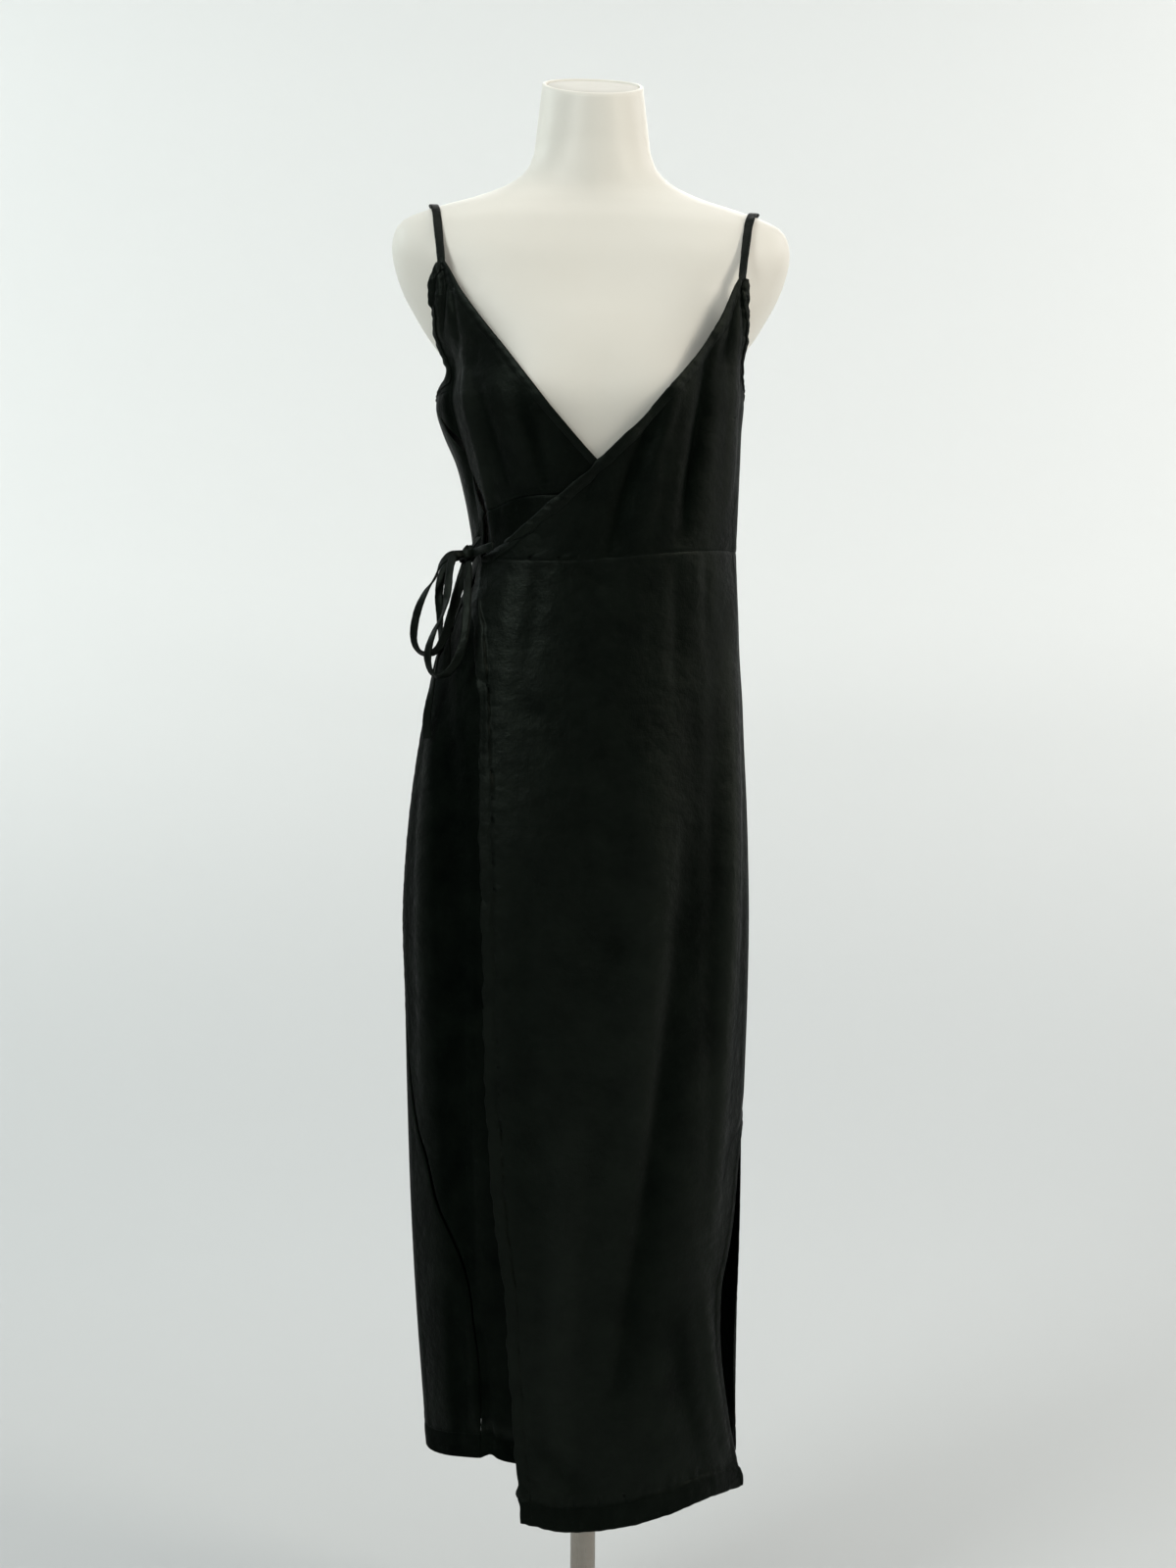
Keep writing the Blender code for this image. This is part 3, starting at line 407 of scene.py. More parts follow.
# Soft cloudy variation of two sizes, used on plastic, cloth and steel.
mottle, mottle_in, mottle_out = shader_group(
    "soft_mottle",
    [
        ("Vector", "NodeSocketVector", None),
        ("Size", "NodeSocketFloat", 12.0),
        ("Contrast", "NodeSocketFloat", 1.0),
    ],
    [("Mask", "NodeSocketFloat")],
)
cloud = add_node(
    mottle,
    "ShaderNodeTexNoise",
    {"Vector": mottle_in.outputs["Vector"], "Scale": mottle_in.outputs["Size"], "Detail": 4.0},
)
cloud.inputs["Roughness"].default_value = 0.58
centred = add_node(mottle, "ShaderNodeMath", {0: cloud.outputs["Fac"], 1: 0.5}, operation="SUBTRACT")
scaled = add_node(
    mottle,
    "ShaderNodeMath",
    {0: centred.outputs[0], 1: mottle_in.outputs["Contrast"]},
    operation="MULTIPLY",
)
lifted_mask = add_node(
    mottle, "ShaderNodeMath", {0: scaled.outputs[0], 1: 0.5}, operation="ADD", use_clamp=True
)
mottle.links.new(lifted_mask.outputs[0], mottle_out.inputs["Mask"])


def place_mottle(tree, vector, size, contrast):
    """The mottle's mask in a material, at this size and contrast."""
    made = tree.nodes.new("ShaderNodeGroup")
    made.node_tree = mottle
    tree.links.new(vector, made.inputs["Vector"])
    made.inputs["Size"].default_value = size
    made.inputs["Contrast"].default_value = contrast
    return made.outputs["Mask"]


def blend_colours(tree, mask, low, high):
    """A colour that runs from low to high with the mask."""
    made = add_node(tree, "ShaderNodeMix", data_type="RGBA")
    tree.links.new(mask, made.inputs[0])
    made.inputs[6].default_value = (*low, 1)
    made.inputs[7].default_value = (*high, 1)
    return made.outputs[2]


def remap(tree, value, low, high):
    """A value that runs from low to high as the mask runs from 0 to 1."""
    made = add_node(tree, "ShaderNodeMapRange", {0: value})
    made.inputs["To Min"].default_value = low
    made.inputs["To Max"].default_value = high
    return made.outputs[0]


torso_plastic, plastic_shader = new_material("torso_plastic", (0.85, 0.82, 0.745), 0.42)
tree = torso_plastic.node_tree
where = add_node(tree, "ShaderNodeTexCoord").outputs["Object"]
broad = place_mottle(tree, where, 6.0, 1.6)
fine = place_mottle(tree, where, 90.0, 1.4)
tree.links.new(
    blend_colours(tree, broad, (0.835, 0.80, 0.72), (0.875, 0.85, 0.78)),
    plastic_shader.inputs["Base Color"],
)
tree.links.new(remap(tree, fine, 0.38, 0.50), plastic_shader.inputs["Roughness"])
skin = add_node(tree, "ShaderNodeBump", {"Height": place_mottle(tree, where, 260.0, 1.0)})
skin.inputs["Strength"].default_value = 0.06
skin.inputs["Distance"].default_value = 0.001
tree.links.new(skin.outputs["Normal"], plastic_shader.inputs["Normal"])
plastic_shader.inputs["Specular IOR Level"].default_value = 0.4

turns = np.arange(FORM_SIDES) * 360 / FORM_SIDES
form_low = FORM[-1].z
heights = np.linspace(form_low, FORM[0].z, round((FORM[0].z - form_low) / FORM_STEP))
foot = form_radius(turns, form_low)
rings = [polar(turns, foot * 0.97, form_low), polar(turns, foot, form_low + 0.0015)]
rings += [polar(turns, form_radius(turns, z), z) for z in heights[1:]]
for share in np.linspace(0.08, 0.985, 12):
    rings.append(neck_ring(turns, share))
rings.append(neck_ring(turns, 1.0, 0.988))
rings.append(neck_ring(turns, 1.0, NECK_RIM + 0.008))
rings.append(neck_ring(turns, 1.0, NECK_RIM, 0.0008))
rings.append(neck_ring(turns, 1.0, NECK_RIM, NECK_RECESS))
torso = capped("torso", rings, torso_plastic)
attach(torso, "root")
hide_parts("form_torso")

# ------------------------------------------------------------------ the neck cap
# A flat oval disc pressed into the recess of the neck, a little greyer than the torso.
cap_plastic, cap_shader = new_material("cap_plastic", (0.62, 0.60, 0.54), 0.5)
tree = cap_plastic.node_tree
where = add_node(tree, "ShaderNodeTexCoord").outputs["Object"]
tree.links.new(
    blend_colours(tree, place_mottle(tree, where, 30.0, 1.5), (0.58, 0.555, 0.49), (0.66, 0.64, 0.58)),
    cap_shader.inputs["Base Color"],
)
tree.links.new(
    remap(tree, place_mottle(tree, where, 140.0, 1.5), 0.42, 0.62), cap_shader.inputs["Roughness"]
)
CAP_SCALE = NECK_RIM - 0.016
CAP_ROUND = 0.0008
cap_top = NECK_RECESS - 0.0026
cap_rings = [
    neck_ring(turns, 1.0, CAP_SCALE, cap_top + 0.0045),
    neck_ring(turns, 1.0, CAP_SCALE, cap_top + CAP_ROUND),
    neck_ring(turns, 1.0, CAP_SCALE - 0.016, cap_top),
    neck_ring(turns, 1.0, CAP_SCALE * 0.5, cap_top - 0.0003),
]
cap = capped("neck_cap", cap_rings, cap_plastic)
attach(cap, "root")
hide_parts("form_neck_cap")

# ------------------------------------------------------------------ the stand
# A satin steel collar under the torso, a 25 mm tube brushed along its length, and a low round
# base plate with a turned hub that holds the tube.
POLE_SIDES = 64
BASE_SIDES = 160

brushed_steel, steel_shader = new_material("brushed_steel", (0.42, 0.39, 0.35), 0.3)
steel_shader.inputs["Metallic"].default_value = 1.0
tree = brushed_steel.node_tree
where = add_node(tree, "ShaderNodeTexCoord").outputs["Object"]
along_pole = add_node(tree, "ShaderNodeMapping", {"Vector": where})
along_pole.inputs["Scale"].default_value = (1.0, 1.0, 0.02)
streaks = place_mottle(tree, along_pole.outputs["Vector"], 900.0, 1.6)
smears = place_mottle(tree, where, 35.0, 1.5)
tree.links.new(remap(tree, streaks, 0.24, 0.36), steel_shader.inputs["Roughness"])
tree.links.new(
    blend_colours(tree, smears, (0.30, 0.27, 0.235), (0.40, 0.37, 0.33)),
    steel_shader.inputs["Base Color"],
)
brushing = add_node(tree, "ShaderNodeBump", {"Height": streaks})
brushing.inputs["Strength"].default_value = 0.15
brushing.inputs["Distance"].default_value = 0.0004
tree.links.new(brushing.outputs["Normal"], steel_shader.inputs["Normal"])


def turned(name, profile, sides):
    """A solid turned on the upright axis from (radius, z) pairs that run from the bottom up."""
    around = 2 * pi * np.arange(sides) / sides
    rings = []
    for reach, z in profile:
        rings.append(np.stack([reach * np.cos(around), reach * np.sin(around), np.full(sides, z)], 1))
    return capped(name, rings, brushed_steel)


def rounded(reach, z, size, first, last, steps=5):
    """Profile points round a corner of this size, between two angles in degrees."""
    points = []
    for k in range(steps + 1):
        angle = radians(first + (last - first) * k / steps)
        points.append((reach - size + size * cos(angle), z - size + size * sin(angle)))
    return points


low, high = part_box("form_pole")
pole_radius = high.x
pole = turned(
    "pole",
    [(pole_radius, low.z), *[(pole_radius, z) for z in np.linspace(low.z, high.z, 9)[1:]]],
    POLE_SIDES,
)
low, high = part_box("form_socket")
SOCKET_RADIUS = 0.018
SOCKET_ROUND = 0.0015
FLANGE_THICKNESS = 0.006
corner_z = low.z + SOCKET_ROUND
lower_corner = rounded(SOCKET_RADIUS, corner_z, SOCKET_ROUND, 90, 0)
collar = turned(
    "collar",
    [
        (SOCKET_RADIUS - 0.001, low.z),
        *[(reach, 2 * corner_z - z) for reach, z in lower_corner],
        (SOCKET_RADIUS, high.z - FLANGE_THICKNESS - 0.004),
        (SOCKET_RADIUS + 0.0012, high.z - FLANGE_THICKNESS - 0.0015),
        (SOCKET_RADIUS + 0.004, high.z - FLANGE_THICKNESS),
        (high.x - 0.001, high.z - FLANGE_THICKNESS),
        (high.x, high.z - FLANGE_THICKNESS + 0.001),
        (high.x, high.z - 0.001),
        (high.x - 0.001, high.z),
    ],
    POLE_SIDES,
)
low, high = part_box("form_base")
BASE_EDGE = 0.008
HUB_RADIUS = 0.018
base = turned(
    "base_plate",
    [
        (high.x - 0.001, 0.0),
        (high.x, 0.001),
        *rounded(high.x, BASE_EDGE, 0.0025, 0, 80),
        (high.x - 0.030, BASE_EDGE + 0.0008),
        (high.x - 0.080, BASE_EDGE + 0.0022),
        (HUB_RADIUS + 0.030, BASE_EDGE + 0.0036),
        (HUB_RADIUS + 0.008, BASE_EDGE + 0.0052),
        (HUB_RADIUS + 0.003, BASE_EDGE + 0.0080),
        (HUB_RADIUS + 0.001, BASE_EDGE + 0.0120),
        (HUB_RADIUS, high.z - 0.004),
        *rounded(HUB_RADIUS, high.z, 0.0015, 0, 90),
    ],
    BASE_SIDES,
)
for piece, node in ((pole, "form_pole"), (collar, "form_socket"), (base, "form_base")):
    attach(piece, "root")
    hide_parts(node)

# ------------------------------------------------------------------ the back of the skirt
# One panel of black sand-washed silk from the waist seam to a 22 mm hem.  It runs from the seam
# on the wearer's right, which swings to the front near the hem, to the slit on the left.
# The cloth follows one closed surface; a place on it is (turn, z), with turn in degrees round
# the axis: 0 at the front, -90 at the wearer's right, +90 at the left, -180 at the back.
ClothSection = namedtuple("ClothSection", "z right left front back square")
CLOTH = [
    ClothSection(1.470, 0.205, 0.205, 0.094, 0.088, 2.3),
    ClothSection(1.440, 0.204, 0.204, 0.103, 0.093, 2.3),
    ClothSection(1.410, 0.199, 0.199, 0.112, 0.097, 2.3),
    ClothSection(1.384, 0.187, 0.187, 0.121, 0.100, 2.3),
    ClothSection(1.354, 0.170, 0.169, 0.128, 0.101, 2.3),
    ClothSection(1.335, 0.157, 0.157, 0.132, 0.101, 2.3),
    ClothSection(1.315, 0.152, 0.152, 0.134, 0.100, 2.3),
    ClothSection(1.290, 0.154, 0.150, 0.135, 0.098, 2.3),
    ClothSection(1.266, 0.147, 0.148, 0.133, 0.096, 2.3),
    ClothSection(1.236, 0.134, 0.147, 0.129, 0.093, 2.35),
    ClothSection(1.207, 0.126, 0.146, 0.124, 0.091, 2.4),
    ClothSection(1.177, 0.120, 0.145, 0.119, 0.090, 2.45),
    ClothSection(1.147, 0.116, 0.144, 0.115, 0.090, 2.5),
    ClothSection(1.120, 0.121, 0.145, 0.114, 0.093, 2.5),
    ClothSection(1.085, 0.136, 0.147, 0.114, 0.099, 2.4),
    ClothSection(1.044, 0.152, 0.149, 0.115, 0.107, 2.3),
    ClothSection(1.000, 0.161, 0.152, 0.117, 0.115, 2.3),
    ClothSection(0.955, 0.169, 0.154, 0.119, 0.122, 2.3),
    ClothSection(0.896, 0.177, 0.157, 0.122, 0.130, 2.3),
    ClothSection(0.837, 0.182, 0.159, 0.124, 0.134, 2.3),
    ClothSection(0.778, 0.184, 0.160, 0.124, 0.134, 2.3),
    ClothSection(0.700, 0.181, 0.159, 0.123, 0.130, 2.3),
    ClothSection(0.600, 0.178, 0.156, 0.121, 0.124, 2.3),
    ClothSection(0.500, 0.174, 0.154, 0.119, 0.120, 2.3),
    ClothSection(0.400, 0.168, 0.152, 0.117, 0.116, 2.3),
    ClothSection(0.300, 0.160, 0.151, 0.115, 0.112, 2.3),
    ClothSection(0.180, 0.150, 0.151, 0.113, 0.110, 2.3),
]
MEAN_RADIUS = 0.14
WALL = 0.0009
SEAM_DIP = 0.0009
SEAM_WIDTH = 0.0012
SHADING_DEPTH = 0.0055
WAIST_SIDE = 1.148
SLIT_TOP = 0.600
LEFT_SIDE = 89.7
UNDERARM = 1.300

EdgeRow = namedtuple("EdgeRow", "x z")
Place = namedtuple("Place", "turn z")
SIDE_SEAM_MIDDLE = [
    Place(-59, 1.179),
    Place(-64, 1.140),
    Place(-77, 1.080),
    Place(-88, 1.020),
    Place(-95, 0.900),
    Place(-93, 0.760),
]
SIDE_SEAM_BOTTOM = [
    EdgeRow(-0.1766, 0.6334),
    EdgeRow(-0.1704, 0.5854),
    EdgeRow(-0.1605, 0.5496),
    EdgeRow(-0.1508, 0.5095),
    EdgeRow(-0.1355, 0.4740),
    EdgeRow(-0.1240, 0.4442),
    EdgeRow(-0.1163, 0.4110),
    EdgeRow(-0.1084, 0.3398),
    EdgeRow(-0.1050, 0.2674),
]
WAIST_BACK = [
    Place(-59, 1.179),
    Place(-75, 1.160),
    Place(-100, 1.152),
    Place(-180, 1.152),
    Place(-270, WAIST_SIDE),
]
HEM_BACK = [
    Place(-75, 0.2600),
    Place(-100, 0.2560),
    Place(-180, 0.2520),
    Place(-280, 0.2520),
]
SLIT_BACK = [
    Place(-270, WAIST_SIDE),
    Place(-270, 0.950),
    Place(-270, 0.750),
    Place(-270, 0.620),
    Place(-277, 0.490),
    Place(-286, 0.396),
    Place(-287, 0.339),
    Place(-282, 0.275),
    Place(-280, 0.252),
]

# A crease is a soft trough (depth below 0) or ridge along a curve through three places, each
# (x across, z up) as seen from its side.  It fades to a third within its width; lean makes it
# steeper on one side.  The outer wrap layer and the one under it share some; each has others.
Crease = namedtuple("Crease", "side start middle end width depth lean")
SHARED_CREASES = [
    Crease("back", (-0.092, 1.060), (-0.104, 0.700), (-0.100, 0.300), 0.020, -0.0070, 0.2),
    Crease("back", (0.020, 0.980), (0.022, 0.640), (0.034, 0.280), 0.022, -0.0060, -0.2),
    Crease("back", (0.105, 1.080), (0.106, 0.720), (0.096, 0.320), 0.018, -0.0070, 0.1),
    Crease("back", (-0.036, 0.820), (-0.046, 0.560), (-0.040, 0.300), 0.020, 0.0035, 0.0),
    Crease("back", (0.064, 0.900), (0.070, 0.600), (0.062, 0.290), 0.024, 0.0040, 0.0),
    Crease("back", (-0.020, 1.148), (-0.016, 1.090), (-0.024, 1.010), 0.008, -0.0022, 0.3),
    Crease("back", (0.048, 1.148), (0.052, 1.100), (0.046, 1.040), 0.007, -0.0020, -0.3),
    Crease("back", (-0.066, 1.148), (-0.074, 1.085), (-0.080, 1.000), 0.009, -0.0024, 0.2),
    Crease("back", (0.088, 1.146), (0.096, 1.090), (0.104, 1.020), 0.008, -0.0024, 0.1),
    Crease("back", (0.000, 0.520), (-0.004, 0.400), (0.006, 0.275), 0.014, -0.0028, 0.2),
    Crease("back", (-0.075, 0.960), (-0.050, 0.930), (-0.020, 0.925), 0.012, -0.0015, 0.0),
    Crease("back", (0.030, 0.905), (0.058, 0.890), (0.086, 0.905), 0.012, -0.0014, 0.0),
    Crease("back", (-0.060, 1.300), (-0.052, 1.220), (-0.040, 1.150), 0.013, -0.0030, 0.2),
    Crease("back", (0.070, 1.290), (0.060, 1.220), (0.050, 1.150), 0.013, -0.0030, -0.2),
    Crease("back", (0.010, 1.316), (0.004, 1.270), (0.008, 1.215), 0.010, -0.0016, 0.0),
    Crease("back", (-0.100, 1.200), (-0.080, 1.178), (-0.050, 1.166), 0.007, -0.0014, 0.2),
    Crease("back", (0.104, 1.196), (0.085, 1.176), (0.055, 1.168), 0.007, -0.0014, 0.2),
    Crease("front", (0.1360, 1.138), (0.1315, 0.800), (0.1170, 0.440), 0.0105, 0.0060, 0.25),
    Crease("front", (0.1200, 1.120), (0.1170, 0.860), (0.1090, 0.600), 0.0110, -0.0036, 0.0),
    Crease("front", (0.0870, 0.880), (0.0560, 0.560), (0.0180, 0.310), 0.0200, -0.0064, 0.3),
    Crease("front", (0.0500, 0.980), (0.0520, 0.740), (0.0330, 0.450), 0.0220, 0.0034, 0.0),
    Crease("front", (0.1120, 1.352), (0.0960, 1.262), (0.0765, 1.142), 0.0110, -0.0060, 0.25),
    Crease("front", (0.0600, 1.295), (0.0300, 1.214), (0.0080, 1.128), 0.0120, -0.0056, 0.2),
    Crease("front", (0.1320, 1.378), (0.1300, 1.290), (0.1240, 1.160), 0.0085, 0.0040, 0.2),
]
UNDER_CREASES = [
    Crease("front", (-0.1330, 1.345), (-0.1145, 1.240), (-0.0985, 1.148), 0.0065, 0.0050, 0.35),
    Crease("front", (-0.1500, 1.350), (-0.1310, 1.240), (-0.1120, 1.146), 0.0110, -0.0085, 0.1),
    Crease("front", (-0.0780, 1.296), (-0.0624, 1.241), (-0.0460, 1.190), 0.0060, -0.0024, 0.2),
    Crease("front", (-0.1140, 1.305), (-0.0989, 1.243), (-0.0830, 1.190), 0.0060, -0.0022, 0.2),
    Crease("front", (-0.0930, 1.300), (-0.0800, 1.245), (-0.0640, 1.195), 0.0070, 0.0012, 0.0),
    Crease("front", (-0.1552, 1.421), (-0.1493, 1.387), (-0.1471, 1.340), 0.0024, -0.0032, 0.3),
    Crease("front", (-0.1598, 1.414), (-0.1595, 1.388), (-0.1545, 1.345), 0.0022, -0.0028, 0.0),
    Crease("front", (-0.1480, 1.418), (-0.1400, 1.380), (-0.1310, 1.330), 0.0032, -0.0018, 0.0),
    Crease("front", (-0.1380, 1.130), (-0.1430, 0.950), (-0.1350, 0.760), 0.0150, -0.0062, 0.0),
    Crease("front", (-0.1350, 0.880), (-0.1310, 0.660), (-0.1190, 0.400), 0.0150, -0.0060, 0.0),
    Crease("front", (-0.1600, 0.960), (-0.1660, 0.780), (-0.1620, 0.560), 0.0090, 0.0030, 0.0),
    Crease("front", (-0.1180, 0.700), (-0.1130, 0.560), (-0.1030, 0.400), 0.0080, 0.0024, 0.0),
    Crease("front", (-0.1340, 0.440), (-0.1300, 0.350), (-0.1250, 0.262), 0.0090, -0.0040, 0.2),
    Crease("front", (-0.1090, 0.400), (-0.1060, 0.340), (-0.0990, 0.270), 0.0060, -0.0026, 0.2),
]
OVER_CREASES = [
    Crease("front", (-0.0003, 1.240), (-0.0060, 1.210), (-0.0130, 1.184), 0.0070, -0.0016, 0.0),
    Crease("front", (-0.0300, 1.205), (-0.0400, 1.180), (-0.0560, 1.155), 0.0080, 0.0016, 0.0),
    Crease("front", (-0.0790, 1.168), (-0.0820, 1.158), (-0.0880, 1.145), 0.0035, -0.0016, 0.0),
    Crease("front", (-0.0560, 1.160), (-0.0760, 1.150), (-0.0980, 1.141), 0.0035, -0.0014, 0.2),
    Crease("front", (0.0900, 1.240), (0.0860, 1.200), (0.0820, 1.150), 0.0040, -0.0016, 0.3),
    Crease("front", (0.1397, 1.407), (0.1392, 1.378), (0.1350, 1.335), 0.0024, -0.0032, 0.3),
    Crease("front", (0.1455, 1.400), (0.1468, 1.380), (0.1472, 1.350), 0.0020, -0.0026, 0.0),
    Crease("front", (0.1340, 1.400), (0.1290, 1.366), (0.1210, 1.322), 0.0032, -0.0022, 0.0),
    Crease("front", (0.1180, 1.368), (0.1120, 1.330), (0.1080, 1.290), 0.0050, 0.0016, 0.0),
    Crease("front", (0.0740, 1.306), (0.0640, 1.262), (0.0500, 1.216), 0.0060, 0.0018, 0.0),
    Crease("front", (0.0500, 1.240), (0.0520, 1.200), (0.0440, 1.150), 0.0070, 0.0016, 0.0),
    Crease("front", (-0.1027, 1.026), (-0.1075, 0.989), (-0.1092, 0.930), 0.0060, -0.0022, 0.3),
    Crease("front", (-0.1110, 1.134), (-0.1140, 1.118), (-0.1175, 1.095), 0.0035, -0.0018, 0.3),
    Crease("front", (-0.0200, 1.128), (-0.0010, 1.112), (0.0230, 1.106), 0.0090, -0.0018, 0.0),
    Crease("front", (-0.0560, 1.128), (-0.0600, 1.090), (-0.0680, 1.020), 0.0090, -0.0018, 0.2),
    Crease("front", (-0.0840, 1.128), (-0.0860, 1.060), (-0.0820, 0.960), 0.0110, 0.0007, 0.2),
    Crease("front", (0.0720, 1.136), (0.0760, 1.080), (0.0740, 0.990), 0.0090, -0.0022, 0.2),
    Crease("front", (0.1020, 1.140), (0.1060, 1.100), (0.1080, 1.040), 0.0060, -0.0018, 0.2),
    Crease("front", (0.0940, 1.125), (0.0985, 0.880), (0.1010, 0.640), 0.0190, -0.0032, 0.0),
    Crease("front", (-0.0640, 0.860), (-0.0680, 0.640), (-0.0560, 0.400), 0.0180, -0.0020, 0.0),
    Crease("front", (-0.0210, 0.640), (-0.0280, 0.440), (-0.0340, 0.240), 0.0160, 0.0026, 0.0),
    Crease("front", (0.0760, 0.440), (0.0900, 0.330), (0.1180, 0.236), 0.0160, -0.0044, 0.0),
    Crease("front", (0.1080, 0.460), (0.1180, 0.340), (0.1400, 0.252), 0.0085, 0.0048, 0.0),
    Crease("front", (-0.0820, 1.014), (-0.0600, 0.985), (-0.0260, 0.975), 0.0120, -0.0014, 0.0),
    Crease("front", (0.0050, 0.780), (0.0400, 0.760), (0.0800, 0.790), 0.0140, -0.0016, 0.0),
    Crease("front", (-0.0540, 0.300), (-0.0300, 0.262), (0.0020, 0.236), 0.0110, -0.0022, 0.2),
    Crease("front", (-0.1225, 1.023), (-0.1140, 1.018), (-0.1040, 1.010), 0.0030, -0.0020, 0.2),
    Crease("front", (-0.1215, 0.924), (-0.1130, 0.922), (-0.1050, 0.930), 0.0028, -0.0018, -0.2),
    Crease("front", (-0.1190, 0.815), (-0.1100, 0.810), (-0.1010, 0.800), 0.0034, -0.0019, 0.2),
    Crease("front", (-0.1130, 0.702), (-0.1060, 0.700), (-0.0990, 0.706), 0.0030, -0.0014, 0.0),
]


def swayed(spots, near, amount, lengths, seed):
    """The spots with the cloth near an edge moved sideways by up to this many metres."""
    moved = spots.copy()
    moved[..., 0] += np.degrees(amount / MEAN_RADIUS) * near * ripple(spots[..., 1], lengths, seed)
    return moved


def turn_at(x, z, side="front"):
    """The turn of the cloth's front or back where it is x across."""
    right, left, front, back, square = section_at(CLOTH, z)
    wide = np.where(x > 0, left, right)
    share = np.minimum(np.abs(x) / wide, 1)
    deep = front if side == "front" else back
    ahead = deep * (1 - share**square) ** (1 / square)
    front_turn = np.degrees(np.arctan2(x, ahead))
    return front_turn if side == "front" else -180 - front_turn


def places(rows):
    """(turn, z) pairs from a table of edge rows or of places."""
    found = []
    for row in rows:
        turn = row.turn if isinstance(row, Place) else float(turn_at(row.x, row.z))
        found.append((turn, row.z))
    return found


def flat(place):
    """A (turn, z) place, or an array of them, with the turn as a width in metres."""
    place = np.asarray(place, float)
    return np.stack([np.radians(place[..., 0]) * MEAN_RADIUS, place[..., 1]], axis=-1)


def path(points):
    """A function from 0..1 to (turn, z) along a smooth line through the places."""
    points = np.asarray(points, float)
    steps = np.linalg.norm(np.diff(flat(points), axis=0), axis=1)
    marks = np.concatenate([[0], np.cumsum(steps)])

    def at(u):
        distance = np.asarray(u) * marks[-1]
        return np.stack([smooth(marks, points[:, k], distance) for k in (0, 1)], axis=-1)

    at.length = marks[-1]
    return at


def patch(left, right, top, bottom, s, t):
    """(turn, z) inside four edges, at the marks s (rows by columns) and t (rows)."""
    s = s[..., None]
    t = t[:, None, None]
    side = (1 - s) * left(t[:, 0, 0])[:, None] + s * right(t[:, 0, 0])[:, None]
    ends = (1 - t) * top(s[..., 0]) + t * bottom(s[..., 0])
    upper = (1 - s) * left(0.0) + s * right(0.0)
    lower = (1 - s) * left(1.0) + s * right(1.0)
    return side + ends - (1 - t) * upper - t * lower


def graded(length, coarse, fine, first=0.0, last=0.0):
    """Marks from 0 to 1: fine steps in the first and last stretch, coarse ones between."""
    marks = [np.array([0.0])]
    if first:
        marks.append(np.linspace(0, first, round(first / fine) + 1)[1:])
    middle = length - first - last
    marks.append(first + np.linspace(0, middle, round(middle / coarse) + 1)[1:])
    if last:
        marks.append(length - last + np.linspace(0, last, round(last / fine) + 1)[1:])
    return np.concatenate(marks) / length


def row_marks(left, right, t, count, first=0.0, last=0.0, steps=6):
    """Marks across every row, with a band of this true width kept along the left or right edge."""
    a, b = flat(left(t)), flat(right(t))
    across = b - a
    length = np.maximum(np.linalg.norm(across, axis=1), 1e-6)

    def share(edge, band):
        along = np.gradient(edge, axis=0)
        turn = np.abs(along[:, 0] * across[:, 1] - along[:, 1] * across[:, 0])
        slant = turn / np.maximum(np.linalg.norm(along, axis=1) * length, 1e-9)
        return np.minimum(band / (length * np.maximum(slant, 0.35)), 0.45)

    low = share(a, first)[:, None]
    high = 1 - share(b, last)[:, None]
    parts = [low * np.linspace(0, 1, steps + 1)[None, :-1]] if first else []
    parts.append(low + (high - low) * np.linspace(0, 1, count + 1)[None, :])
    if last:
        parts.append(high + (1 - high) * np.linspace(0, 1, steps + 1)[None, 1:])
    return np.concatenate(parts, axis=1)


def crease_relief(spots, creases):
    """How far these creases move the cloth outward at each (turn, z)."""
    at = flat(spots)
    total = np.zeros(at.shape[:-1])
    pieces = 8
    share = np.linspace(0, 1, pieces + 1)[:, None]
    whole_turn = 2 * pi * MEAN_RADIUS
    for crease, shift in [(crease, shift) for crease in creases for shift in (0, -whole_turn)]:
        knots = []
        for x, z in (crease.start, crease.middle, crease.end):
            knots.append((float(turn_at(x, z, crease.side)), z))
        knots = flat(knots) + (shift, 0)
        control = 2 * knots[1] - (knots[0] + knots[2]) / 2
        line = (1 - share) ** 2 * knots[0] + 2 * share * (1 - share) * control + share**2 * knots[2]
        low = line.min(axis=0) - 3 * crease.width
        high = line.max(axis=0) + 3 * crease.width
        near = ((at > low) & (at < high)).all(axis=-1)
        spot = at[near]
        best = np.full(len(spot), 1e9)
        signed = np.zeros(len(spot))
        along = np.zeros(len(spot))
        for k in range(pieces):
            step = line[k + 1] - line[k]
            length = np.linalg.norm(step)
            forward = np.clip((spot - line[k]) @ step / length**2, 0, 1)
            gap = spot - line[k] - forward[:, None] * step
            away = np.linalg.norm(gap, axis=1)
            closer = away < best
            best = np.where(closer, away, best)
            signed = np.where(closer, step[0] * gap[:, 1] - step[1] * gap[:, 0], signed)
            along = np.where(closer, (k + forward) / pieces, along)
        width = crease.width * (1 + crease.lean * np.tanh(signed * 1e5))
        total[near] += crease.depth * np.sin(pi * along) ** 0.7 * np.exp(-((best / width) ** 2))
    return total


def painted_crease_shading(spots, creases, whole=0.0):
    """Painted shading from the creases: gloss lowered in troughs as painted shade and raised on ridges
    as a painted highlight, with a level for the whole panel.
    """
    return np.tanh(crease_relief(spots, creases) / SHADING_DEPTH) + whole


def within(distance, depth, soft=0.002):
    """1 where a distance is less than this depth and 0 beyond it, with a soft step between."""
    return 0.5 * (1 - np.tanh((distance - depth) / soft))


def cloth_surface(spots, creases):
    """Points of the cloth at the (turn, z) spots, with these creases."""
    turn, z = spots[..., 0], spots[..., 1]
    r = outline(turn, *section_at(CLOTH, z)) + crease_relief(spots, creases)
    return polar(turn, r, z)


